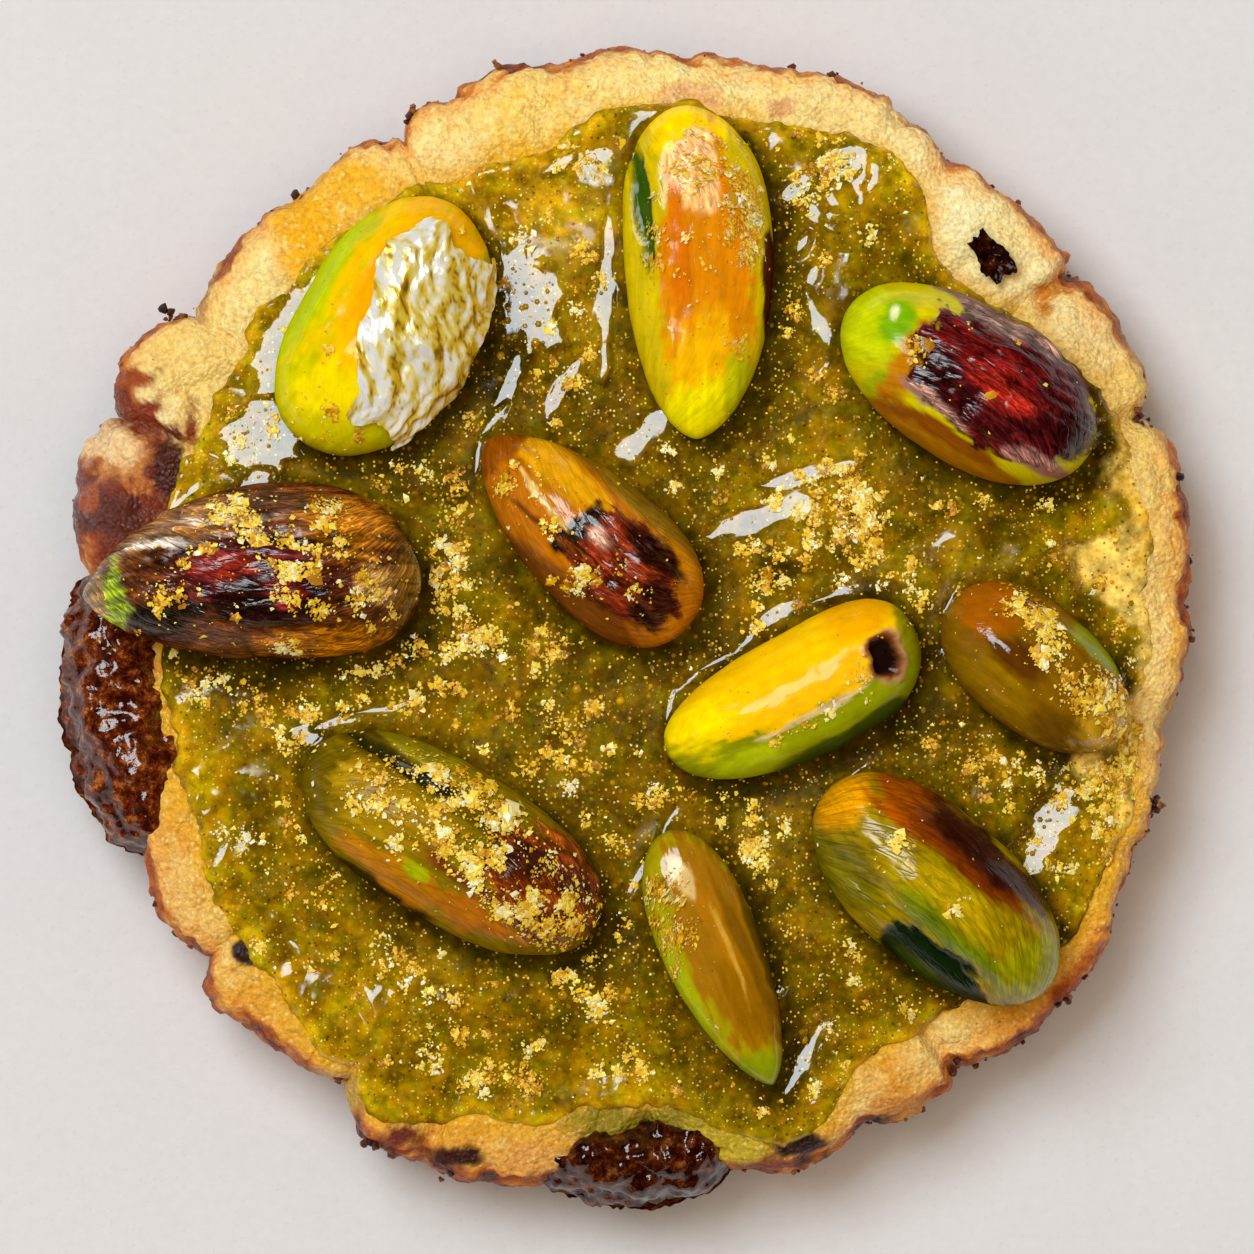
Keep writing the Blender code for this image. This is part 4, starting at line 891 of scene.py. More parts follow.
# Banks of oil that slope to the upper left and mirror the lamp: middle, heading, half length, half width.
BANKS = (
    (-21.0, 15.6, 74, 5.2, 1.5), (-22.3, 11.4, 80, 2.6, 2.0), (-22.6, 8.6, 50, 1.3, 0.8),
         (-5.6, 19.7, 104, 2.9, 1.7),
    (-1.0, 20.3, 88, 4.6, 0.55), (-7.0, 14.6, 72, 2.2, 0.5), (-3.6, 14.8, 60, 1.6, 0.5),
         (1.2, 11.9, 42, 1.9, 0.7),
    (8.8, 6.9, 20, 3.4, 0.7), (11.0, 9.2, 14, 3.2, 0.5), (26.0, -12.4, 66, 3.6, 1.3),
         (11.2, -26.2, 62, 2.2, 0.5),
    (13.0, 28.2, 28, 2.0, 0.9), (10.8, 27.0, 40, 1.2, 0.6), (-1.4, 29.0, 15, 0.8, 0.5),
         (-3.9, 28.3, 30, 1.2, 0.4),
    (-24.5, -14.0, 62, 1.0, 0.3), (9.4, -22.4, 50, 0.9, 0.3), (-11.2, 3.4, 55, 0.8, 0.4),
         (2.0, 16.0, 60, 0.8, 0.4),
    (11.0, 23.5, 60, 0.8, 0.4), (11.6, 21.6, 70, 0.7, 0.4), (29.0, 2.5, 48, 0.9, 0.3),
         (12.2, 15.6, 60, 0.6, 0.3),
    (19.6, 5.4, 30, 0.7, 0.3), (-15.8, 27.0, 30, 1.4, 0.4), (12.0, 18.6, 112, 1.9, 0.4),
    # thin ones that hug a kernel's upper left side
    (2.9, -4.8, 78, 1.2, 0.24), (4.1, -3.2, 42, 1.3, 0.26), (5.9, -2.0, 26, 1.3, 0.26),
         (7.6, -0.8, 46, 1.2, 0.34),
    (9.4, 0.9, 34, 1.6, 0.45), (12.6, 1.9, 19, 1.6, 0.22), (19.6, -0.6, 90, 1.6, 0.22),
         (20.1, 1.8, 60, 1.2, 0.22),
    (12.4, -10.6, 57, 1.2, 0.26), (13.8, -9.2, 37, 1.3, 0.22), (-19.4, -6.5, 10, 1.0, 0.65),
         (-17.4, -5.7, 18, 1.7, 0.3),
    (-14.4, -4.9, 10, 2.1, 0.22), (1.0, -15.1, 65, 1.4, 0.3), (2.8, -11.9, 62, 1.3, 0.22),
         (-8.8, 10.6, 82, 1.1, 0.25),
    (-7.8, 12.7, 50, 1.1, 0.3),
)
BANK_SLOPE = 0.213
BANK_TOWARDS = (math.cos(math.radians(134)), math.sin(math.radians(134)))
# Patches of painted shade in the paste beside the kernels, most of them their painted shadows, and one in a
# hollow: middle, heading, half length, half width.
SHADE_PATCHES = ((10.0, 3.6, 4, 3.2, 1.1), (15.5, 1.8, -50, 1.6, 0.9), (-9.5, 9.0, 70, 2.4, 1.0),
               (-7.0, 15.5, 60, 3.0, 1.2),
               (8.0, -9.6, 15, 4.2, 1.1), (-3.0, -19.0, 60, 3.2, 1.3), (-23.5, -3.5, 5, 4.0, 1.0),
               (-13.0, -1.6, 60, 2.5, 1.1),
               (-6.0, 2.0, -60, 2.6, 0.9), (8.8, 20.0, 88, 4.6, 0.9), (17.0, -20.5, -40, 2.6, 1.0),
               (-5.5, -23.5, -30, 3.4, 1.2))
# Hollows in the paste: middle, heading, half length, half width, depth.
HOLLOWS = ((10.4, 3.0, 6, 2.6, 0.6, 0.7), (-15.9, -23.8, -60, 1.5, 0.45, 0.5),
           (-5.0, 10.5, 40, 2.0, 0.8, 0.3),
           (-20.5, -19.0, -55, 2.6, 0.6, 0.3), (18.0, 5.2, 25, 2.6, 0.7, 0.3))
# Where the paste is thin enough for the dough to glow through: middle, half sizes, how much.
THIN_PLACES = ((-4.5, 25.8, 7.0, 4.2, 0.9), (13.0, 28.6, 4.6, 3.4, 0.6), (-17.5, -23.5, 6.0, 4.5, 0.55),
               (-4.0, -28.5, 8.0, 3.0, 0.45), (29.5, 8.0, 2.6, 8.0, 0.6), (-12.5, 25.0, 3.0, 2.5, 0.5),
               (30.0, -6.0, 2.4, 5.0, 0.5), (27.5, -14.5, 3.0, 4.0, 0.45), (-26.0, 12.0, 2.4, 6.0, 0.45))


def paste_reach(angles):
    """The paste's reach at each angle, on a smooth curve through the readings."""
    step = 360.0 / len(SPREAD)
    readings = np.array(SPREAD) * MM
    index = np.floor(angles / step).astype(int)
    t = angles / step - index
    a, b, c, d = (readings[(index + n) % len(SPREAD)] for n in (-1, 0, 1, 2))
    return b + 0.5 * t * (c - a + t * (2 * a - 5 * b + 4 * c - d + t * (3 * (b - c) + d - a)))


def visual_reach(angles):
    """The paste's reach with the small tongues of its edge."""
    turn = np.radians(angles)
    ring = np.stack([30 * MM * np.cos(turn), 30 * MM * np.sin(turn), np.zeros_like(turn)], -1)
    reach = paste_reach(angles) + 1.2 * MM * crags(ring, 4.0 * MM, 5, 88)
    return np.minimum(reach, rim(angles)[0] - EDGE_INSET)


def local(places, x, y, heading):
    """Places in millimetres along and to the left of a line through a middle."""
    turn = math.radians(heading)
    offset = places / MM - np.array([x, y])
    return (offset @ np.array([math.cos(turn), math.sin(turn)]),
            offset @ np.array([-math.sin(turn), math.cos(turn)]))


def oval(places, x, y, heading, half_length, half_width):
    """How far places lie from an oval's middle: 1 at its edge."""
    length, left = local(places, x, y, heading)
    return np.hypot(length / half_length, left / half_width)


# Where the paste is only soaked into the crumb of the rim: angle, half width in degrees, how much.
SOAKED = ((6, 19, 1.0), (-14, 9, 0.9))
# Between these reaches, in millimetres, the standing paste gives way to soaked crumb.
SOAKED_BAND = (29.6, 30.6)


def soaked_share(places):
    """1 where paste is only soaked into the crumb of the rim, 0 where it stands on it."""
    angles = angle_of(places)
    flat = laid_flat(places)
    far = np.linalg.norm(places, axis=1) / MM + 4.2 * crags(flat, 5.2 * MM, 4, 97)
    return ease(far, *SOAKED_BAND) * ease(near_angle(angles, SOAKED), 0.2, 0.6)


def bank_ragged(half_width):
    """How ragged a bank's outline is: a thin one would break up if it were as ragged as a broad one."""
    return min(0.65, 0.15 + 0.6 * half_width)


def paste_level(places, s):
    """The height of the paste's top at each place, and how far in from its edge that is."""
    angles = angle_of(places) % 360.0
    radii = np.linalg.norm(places, axis=1)
    inward = (visual_reach(angles) - radii) / MM
    flat = laid_flat(places)
    floor = np.maximum(dough_height(angles, radii), DOUGH_TOP - 0.3 * MM)
    edge = floor + s.edge_height * (1 + 0.5 * crags(flat, 3.0 * MM, 2, 61))
    level = edge + (PASTE_TOP - edge) * ease((paste_reach(angles) - radii) / MM, 0.0, 9.0)
    swell = 0.3 * MM * crags(flat, 6.0 * MM, 3, 9)
    for x, y, heading, half_length, half_width, depth in HOLLOWS:
        length, left = local(places, x, y, heading)
        swell -= depth * MM * np.exp(-(length / half_length) ** 2 - (left / half_width) ** 2)
    level = level + swell * ease(inward, 0.2, 3.0)
    calm = 0.12 + 0.88 * ease(beside_kernels(places), 0.9 * MM, 2.4 * MM)
    lumpy = ease(crags(flat, 4.0 * MM, 2, 77), -0.5, 0.2)
    grain = (s.lump_height * (pebbles(flat + 0.2 * MM * crags(flat, 0.9 * MM, 2, 78)[:, None], 1.5 * MM, 21)
                              - 0.4))
    grain += 0.5 * s.lump_height * (pebbles(flat, 0.75 * MM, 33) - 0.4)
    level += grain * (0.35 + 0.65 * lumpy) * calm
    soaked = soaked_share(places)
    level += (floor + 0.25 * MM + 1.6 * grain - level) * soaked
    ragged = crags(flat, 1.4 * MM, 3, 64)
    for x, y, heading, half_length, half_width in BANKS:
        far = oval(places, x, y, heading, half_length, half_width)
        mask = ease(1.25 - far + bank_ragged(half_width) * ragged, 0.0, 0.3)
        from_middle = places - np.array([x, y]) * MM
        common = PASTE_TOP - 1.3 * MM * ease(math.hypot(x, y), 22.0, 32.0)
        plane = common - BANK_SLOPE * (from_middle @ np.array(BANK_TOWARDS))
        level = np.where(mask > 0, level + (plane - level) * mask, level)
    rounded = np.sqrt(np.clip(1 - (1 - np.clip(inward / 0.7, 0, 1)) ** 2, 0, 1))
    level = floor - 0.12 * MM + (level - floor + 0.12 * MM) * rounded
    return level, inward


def beside_kernels(places):
    """How far the nearest kernel is from each place."""
    near = np.full(len(places), 9.0 * MM)
    for k in KERNELS:
        close = np.linalg.norm(places - np.array([k.x, k.y]) * MM, axis=1) < (k.length / 2 + 4) * MM
        near[close] = np.minimum(near[close], outside_kernel(k, places[close]))
    return near


def shadow_side(places):
    """1 where a kernel's painted shadow falls on the paste at its lower right side, fading away from it."""
    flat = laid_flat(places)
    wander = 0.5 * MM * crags(flat, 1.5 * MM, 3, 91)
    nearer = beside_kernels(places + np.array([-1.0, 1.1]) * MM)
    return np.exp(-np.maximum(nearer + wander, 0) / (0.95 * MM))


def paste_tint(places, inward, beside, s):
    """The paste's painted colour: olive, lighter where thin, with painted shade and painted shadows beside
    the kernels.
    """
    flat = laid_flat(places)
    broad = crags(flat, 5.0 * MM, 3, 71)
    tint = over(np.broadcast_to(np.array(s.olive), flat.shape), s.dark, 0.35 + 0.8 * broad)
    thin = 0.7 * (1 - ease(inward + 1.2 * broad, 0.3, 3.2))
    for x, y, half_x, half_y, much in THIN_PLACES:
        far = np.hypot((places[:, 0] / MM - x) / half_x, (places[:, 1] / MM - y) / half_y)
        thin = np.maximum(thin, much * ease(1 - far + 0.4 * broad, -0.3, 0.4))
    tint = over(tint, s.amber, thin)
    tint = over(tint, s.film, 1 - ease(inward + 0.5 * crags(flat, 1.5 * MM, 2, 73), 0.1, 1.3))
    # Painted shade round each kernel, which also stands for the darker paste banked thick there, and a
    # painted shadow on each kernel's lower right side, away from the lamp.
    dark = 0.65 * np.exp(-np.maximum(beside, 0) / (0.9 * MM)) * ease(inward, 0.5, 3.0)
    tint = over(tint, s.deep, np.maximum(dark, 0.92 * shadow_side(places)))
    # Painted shade and shadows in the patches listed above.
    for cloud in SHADE_PATCHES:
        tint = over(tint, s.deep, 0.7 * ease(1.1 - oval(places, *cloud) + 0.5 * broad, 0.0, 0.9))
    tint = tint * (1 - 0.12 * ease(0.5 * places[:, 0:1] - places[:, 1:2], 0.0, 14 * MM))
    crumb = pebbles(flat, 0.75 * MM, 33)
    soaked = over(np.broadcast_to(np.array(s.soaked), flat.shape), s.film,
                  1.0 * (0.6 - crumb) + 1.1 * crags(flat, 3.0 * MM, 3, 75))
    soaked = over(soaked, s.olive, 1.6 * crags(flat, 2.6 * MM, 4, 79) - 0.35)
    return tint + (soaked - tint) * soaked_share(places)[:, None]


def disc_places(count):
    """A square grid of places bent into a disc of radius 1, ring by ring."""
    line = np.linspace(-1, 1, count)
    a, b = np.meshgrid(line, line, indexing="ij")
    radius = np.maximum(np.abs(a), np.abs(b))
    larger = np.abs(a) > np.abs(b)
    turn = np.where(larger, np.where(a > 0, 0, np.pi) + np.pi / 4
                    * np.where(a == 0, 0, b / np.where(a == 0, 1, a)),
                    np.where(b > 0, np.pi / 2, -np.pi / 2) - np.pi / 4
                    * np.where(b == 0, 0, a / np.where(b == 0, 1, b)))
    return radius, turn


def meniscus(places, beside, inward, s):
    """How far the paste climbs towards the kernels, more in some places than in others."""
    flat = laid_flat(places)
    vary = 1 + 0.35 * crags(flat, 4.5 * MM, 2, 13)
    away = np.maximum(beside, 0)
    climb = s.meniscus_height * np.exp(-away / s.meniscus_width) + 0.1 * MM * np.exp(-away / (1.4 * MM))
    return climb * vary * ease(inward, 0.3, 2.0) * (1 - 0.9 * banked(places))


def banked(places):
    """1 where a bank of oil lies, 0 elsewhere."""
    ragged = crags(laid_flat(places), 1.4 * MM, 3, 64)
    found = np.zeros(len(places))
    for bank in BANKS:
        found = np.maximum(found, ease(1.35 - oval(places, *bank) + bank_ragged(bank[-1]) * ragged, 0.0,
                                       0.25))
    return found


def wetness(places, beside):
    """Where oil stands so deep on the paste that its grain is covered: 1 there, 0 on drier paste."""
    flat = laid_flat(places)
    wet = 0.4 * np.exp(-np.maximum(beside, 0) / (0.5 * MM)) + 0.15 + 0.42 * crags(flat, 2.6 * MM, 3, 53)
    outer = ease(np.linalg.norm(places, axis=1), 20.0 * MM, 27.0 * MM)
    wet = np.maximum(wet, outer * ease(crags(flat, 2.2 * MM, 3, 57), -0.2, 0.15))
    return np.clip(np.maximum(wet, banked(places)) * (1 - 0.6 * soaked_share(places)), 0, 1)


def build_paste(s, material):
    """The paste with its swells, its banks and its ground lumps."""
    count = s.steps_across
    share, turn = disc_places(count)
    angles = np.degrees(turn).ravel() % 360.0
    radii = share.ravel() * visual_reach(angles)
    places = polar(radii, turn.ravel())
    level, inward = paste_level(places, s)
    beside = beside_kernels(places)
    level = level + meniscus(places, beside, inward, s)
    tint = paste_tint(places, inward, beside, s)
    index = np.arange(count * count).reshape(count, count)
    top = np.stack([index[:-1, :-1], index[1:, :-1], index[1:, 1:], index[:-1, 1:]], -1).reshape(-1, 4)
    border = np.concatenate([index[:-1, 0], index[-1, :-1], index[:0:-1, -1], index[0, :0:-1]])
    low = np.column_stack([places[border] * 0.995, np.full(len(border), DOUGH_TOP - 0.6 * MM)])
    below = count * count + np.arange(len(border))
    wall = np.stack([border, below, np.roll(below, -1), np.roll(border, -1)], -1)
    middle = count * count + len(border)
    floor = [(a, middle, b) for a, b in zip(below.tolist(), np.roll(below, -1).tolist())]
    points = np.vstack([np.column_stack([places, level]), low, [(0, 0, DOUGH_TOP - 0.6 * MM)]])
    tint = np.vstack([tint, tint[border], tint[:1]])
    keep = np.append(soaked_share(places), np.zeros(len(border) + 1))[:, None]
    greener = tint * (np.array(s.greener) * (1 - keep) + keep)
    wet = wetness(places, beside)
    wet = np.concatenate([wet, wet[border], wet[:1]])
    made = mesh_object("paste_spread", points, top.tolist() + wall.tolist() + floor, material, tint, wet=wet,
                       greener=greener)
    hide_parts("pistachio_paste")


def build_beads(s, material):
    """Small beads of oil and air that stand in the paste."""
    random = np.random.default_rng(31)
    count = s.bead_count
    places = scattered(random, 32 * MM, count)
    extra = [np.array([x, y]) * MM + random.normal(0, spread, (number, 2)) * MM
             for x, y, spread, number in ((-23.3, 13.2, 2.0, 50), (-5.7, 19.4, 2.2, 60),
                                          (-22.0, 6.4, 1.5, 60),
                                          (11.0, -25.8, 1.8, 40), (25.2, -12.2, 1.8, 40),
                                          (13.0, 28.0, 2.0, 40),
                                          (-25.5, 8.5, 1.5, 60))]
    places = np.vstack([places] + extra)
    sizes = s.bead_size * random.lognormal(0, 0.45, len(places))
    level, inward = paste_level(places, s)
    kept = (inward > 0.5) & (beside_kernels(places) > 0.3 * MM)
    places, sizes, level = places[kept], sizes[kept], level[kept]
    shape = np.array([(math.cos(a) * math.cos(t), math.cos(a) * math.sin(t), math.sin(a))
                      for a in (0.0, 0.75) for t in np.arange(6) * math.pi / 3] + [(0, 0, 1)])
    faces = ([(i, (i + 1) % 6, 6 + (i + 1) % 6, 6 + i) for i in range(6)]
             + [(6 + i, 6 + (i + 1) % 6, 12, 12) for i in range(6)])
    centre = np.column_stack([places, level - 0.35 * sizes])
    points = (centre[:, None] + shape[None] * sizes[:, None, None]).reshape(-1, 3)
    faces = [tuple(dict.fromkeys(face)) for face in
             (np.array(faces)[None] + np.arange(len(centre))[:, None, None]
              * len(shape)).reshape(-1, 4).tolist()]
    shade = random.uniform(0, 1, len(centre))[:, None]
    tint = np.array(s.olive) * (1 - shade) + np.array(s.amber) * shade
    made = mesh_object("paste_beads", points, faces, material, np.repeat(tint, len(shape), 0),
                       wet=np.ones(len(points)),
                       greener=np.repeat(tint, len(shape), 0))


# ---- gold -------------------------------------------------------------------------------------------

FOIL_SIDES = 5


def foil_mesh(places, normals, sizes, random):
    """Crumpled bits of foil as one mesh: a ragged fan of triangles at each place."""
    count, sides = len(places), FOIL_SIDES
    helper = np.where(np.abs(normals[:, :1]) < 0.9, np.array([[1.0, 0, 0]]), np.array([[0, 1.0, 0]]))
    side = unit(np.cross(normals, helper))
    other = np.cross(normals, side)
    turn = (random.uniform(0, 2 * np.pi, (count, 1))
            + (np.arange(sides) + random.uniform(-0.3, 0.3, (count, sides))) * 2 * np.pi / sides)
    far = sizes[:, None] * random.uniform(0.35, 1.35, (count, sides))
    lift = sizes[:, None] * random.uniform(-0.25, 0.3, (count, sides))
    ring = (places[:, None] + side[:, None] * (far * np.cos(turn))[..., None]
            + other[:, None] * (far * np.sin(turn))[..., None] + normals[:, None] * lift[..., None])
    middle = places + normals * (sizes * random.uniform(0.0, 0.4, count))[:, None]
    points = np.concatenate([ring, middle[:, None]], 1).reshape(-1, 3)
    start = np.arange(count)[:, None] * (sides + 1)
    step = np.arange(sides)
    faces = np.stack([start + step, start + (step + 1) % sides,
                      np.broadcast_to(start + sides, (count, sides))], -1)
    return points, faces.reshape(-1, 3).tolist()


def gold_tints(tones):
    """A gold for each bit, from deep amber to nearly white."""
    return along_ramp(tones, ((0.0, "#B87A04"), (0.2, "#E6A80A"), (0.45, "#FFD21E"), (0.75, "#FFEC6A"),
                              (1.0, "#FFFCDC")))


def clumps(middles, random, s):
    """Bits of gold gathered in ragged clumps: each bit's offset from its clump, its size and its tone."""
    count = len(middles)
    bits = random.integers(s.clump_bits // 3, s.clump_bits * 5 // 3, count)
    owner = np.repeat(np.arange(count), bits)
    reach = s.clump_size * random.lognormal(0, 0.35, count)
    reach = reach * np.sqrt(bits / s.clump_bits)
    turn = random.uniform(0, 2 * np.pi, len(owner))
    phase = random.uniform(0, 2 * np.pi, (2, count))
    star = 1 + 0.35 * np.sin(3 * turn + phase[0][owner]) + 0.3 * np.sin(5 * turn + phase[1][owner])
    far = reach[owner] * star * random.uniform(0, 1, len(owner)) ** 0.65
    offset = polar(far, turn)
    sizes = s.flake_size * random.lognormal(0, 0.4, len(owner))
    tone = random.uniform(0.15, 0.95, count)[owner] + random.normal(0, 0.22, len(owner))
    return owner, offset, sizes, np.clip(tone - 0.08, 0, 1)


# Where gold lies thick on the paste: middle, spread, how many bits.
GOLD_CLUSTERS = (
    (14.0, 6.9, 1.5, 900), (13.4, 9.1, 0.9, 260), (11.6, 6.6, 1.2, 200), (9.6, 8.9, 1.0, 150),
                 (10.5, 5.2, 1.4, 140),
    (-11.2, 4.1, 1.3, 330), (-11.9, 1.7, 1.0, 180), (-8.2, -1.0, 1.1, 260), (-1.4, -4.5, 0.7, 100),
    (-13.7, -20.8, 0.8, 170), (-2.0, -23.0, 0.8, 210), (-5.7, -26.7, 0.8, 200), (-8.8, -27.9, 0.8, 210),
    (7.2, -13.1, 1.1, 260), (29.4, -8.8, 1.6, 1500), (29.8, -12.2, 1.3, 700), (30.8, -7.0, 0.8, 250),
                 (26.2, -15.0, 0.9, 150),
    (15.2, 3.4, 0.8, 120), (17.4, 2.4, 0.9, 140), (8.5, 3.6, 1.2, 180), (1.7, -10.0, 0.8, 110),
    (-4.0, -8.2, 0.8, 120), (-25.4, -4.0, 0.8, 130), (-22.4, -4.3, 1.0, 170), (-19.8, -6.0, 0.9, 150),
    (-16.5, -2.0, 1.6, 200), (-10.7, 0.3, 1.6, 150), (-18.0, 7.4, 1.2, 260), (-13.3, 9.0, 2.0, 200),
    (-10.5, -4.5, 2.4, 260), (-4.6, -1.0, 1.6, 160), (-2.6, -10.2, 1.5, 200), (1.5, -14.5, 1.2, 160),
    (-0.5, -16.5, 1.4, 160), (-16.0, -14.5, 2.0, 120), (-20.5, -12.5, 2.4, 140), (-8.5, -21.5, 2.5, 180),
    (-5.0, 17.5, 1.6, 120), (-6.5, 25.0, 2.4, 140), (-2.5, 23.5, 1.4, 90), (9.5, 21.5, 1.0, 120),
                 (10.6, 18.8, 0.9, 90),
    (3.6, 9.0, 1.6, 120), (12.0, 28.5, 1.5, 200), (14.5, 29.5, 1.0, 120), (12.3, 14.8, 0.5, 60),
                 (21.3, 8.0, 0.8, 60),
    (26.5, 0.6, 1.4, 120), (21.0, -6.0, 1.8, 120), (24.5, -9.0, 1.4, 120), (3.8, -24.5, 2.0, 120),
                 (14.0, -22.0, 2.4, 120),
    (-12.5, 13.4, 0.7, 50), (18.0, 15.2, 0.4, 40), (-3.2, -30.5, 0.7, 70), (5.0, -30.0, 1.6, 70),
)


def surface_level(places, s):
    """The height of the top, on the paste and on the bare dough round it."""
    level, inward = paste_level(places, s)
    angles = angle_of(places) % 360
    bare = dough_height(angles, np.linalg.norm(places, axis=1)) + 0.08 * MM
    return np.where(inward > 0.15, level, bare)


def build_gold_on_paste(s, paste):
    """Loose gold on the paste: ragged clumps, thicker in places, and fine dust all over."""
    random = np.random.default_rng(11)
    middles = []
    for x, y, wide, count in GOLD_CLUSTERS:
        number = max(2, round(count * s.thickness / s.clump_bits))
        middles.append(np.array([x, y]) * MM + random.normal(0, wide * 0.9 * MM, (number, 2)))
    middles.append(scattered(random, 31 * MM, s.clump_count))
    middles = np.vstack(middles)
    owner, offset, sizes, tones = clumps(middles, random, s)
    places = np.vstack([middles[owner] + offset, scattered(random, 33 * MM, s.dust_count)])
    sizes = np.concatenate([sizes, s.dust_size * random.lognormal(0, 0.45, s.dust_count)])
    tones = np.concatenate([tones, random.uniform(0.1, 1.0, s.dust_count)])
    angles = angle_of(places) % 360
    radii = np.linalg.norm(places, axis=1)
    outer = (visual_reach(angles) - 0.3 * MM + 1.6 * MM
             * near_angle(angles, ((341, 10, 1.0), (120, 12, 0.4))))
    kept = (radii < outer) & (radii < rim(angles)[0] - 1.4 * MM) & (beside_kernels(places) > 0.05 * MM)
    places, sizes, tones = places[kept], sizes[kept], tones[kept]
    level = surface_level(places, paste)
    step = 0.15 * MM
    slopes = [(surface_level(places + move, paste) - level) / step for move in ([step, 0], [0, step])]
    normals = (np.stack([-slopes[0], -slopes[1], np.ones(len(level))], -1)
               + random.normal(0, 0.16, (len(level), 3)))
    normals /= np.linalg.norm(normals, axis=1, keepdims=True)
    lift = random.uniform(0.03, 0.12, len(level)) * MM
    points, faces = foil_mesh(np.column_stack([places, level + lift]), normals, sizes, random)
    material = gold_material("gold leaf flakes", 0.4, 0.1, 0.3 * MM)
    made = mesh_object("gold_on_paste", points, faces, material,
                       np.repeat(gold_tints(tones), FOIL_SIDES + 1, 0))
    made.data.shade_flat()


def build_gold_on_kernels(s):
    """Ragged clumps and loose bits of gold that cling to the kernels."""
    random = np.random.default_rng(23)
    all_points, all_faces, all_tones, start = [], [], [], 0
    for k in KERNELS:
        middles, loose = [], []
        for u, v, spread_u, spread_v, count in k.gold:
            number = round(count * s.thickness / s.clump_bits
                           * (0.75 if max(spread_u, spread_v) < 0.3 else 0.35))
            middles.append(np.array([u, v]) + random.normal(0, 1, (number, 2))
                           * [spread_u * 0.8, spread_v * 0.8])
            number = round(count * s.thickness * 0.3)
            loose.append(np.array([u, v]) + random.normal(0, 1, (number, 2)) * [spread_u, spread_v])
        middles = np.vstack(middles)
        owner, offset, sizes, tones = clumps(middles, random, s)
        offset = offset / (np.array([k.length, k.width]) * MM / 2)
        loose = np.vstack(loose)
        bits = np.vstack([middles[owner] + offset, loose])
        sizes = np.where(random.uniform(0, 1, len(sizes)) < 0.3, 1.6 * sizes, sizes)
        sizes = np.concatenate([sizes, s.dust_size * 1.2 * random.lognormal(0, 0.5, len(loose))])
        # The gold on kernel_split is painted paler: a painted highlight on bits that face away from the lamp.
        tones = np.concatenate([tones + (0.25 if k.name == "kernel_split" else 0.0),
                                random.uniform(0.1, 1, len(loose))])
        along = np.clip(bits[:, 0], -0.97, 0.97)
        share = kernel_share(k, along)
        kept = np.abs(bits[:, 1]) < 0.93 * share
        along, across, share, sizes, tones = along[kept], bits[kept, 1], share[kept], sizes[kept], tones[kept]
        turn = np.degrees(np.arccos(across / share))
        places = kernel_points(k, along, turn, 0.16 * MM)
        normals = unit(places - kernel_points(k, along, turn, 0.0))
        normals = unit(normals + random.normal(0, 0.16, normals.shape))
        points, faces = foil_mesh(places, normals, sizes, random)
        all_points.append(points)
        all_faces += (np.array(faces).reshape(-1, 3) + start).tolist()
        all_tones.append(tones)
        start += len(points)
    material = gold_material("gold leaf on kernels", 0.4, 0.1, 0.3 * MM)
    made = mesh_object("gold_on_kernels", np.vstack(all_points), all_faces, material,
                       np.repeat(gold_tints(np.concatenate(all_tones)), FOIL_SIDES + 1, 0))
    made.data.shade_flat()


def folded(points, size, heading, salt):
    """Height of a sheet creased into flat triangles of one size, from -1 to 1."""
    turned = points[..., :2] @ np.array([[math.cos(heading), -math.sin(heading)],
                                         [math.sin(heading), math.cos(heading)]])
    place = turned / np.array([size, 1.4 * size]) + 31.4
    cell = np.floor(place).astype(np.int64)
    x, y = np.moveaxis(place - cell, -1, 0)
    a, b, c, d = (chance(np.stack([cell[..., 0] + i, cell[..., 1] + j, 0 * cell[..., 0]], -1), salt)
                  for i, j in ((0, 0), (1, 0), (0, 1), (1, 1)))
    return np.where(x > y, a + x * (b - a) + y * (d - b), a + y * (c - a) + x * (d - c))


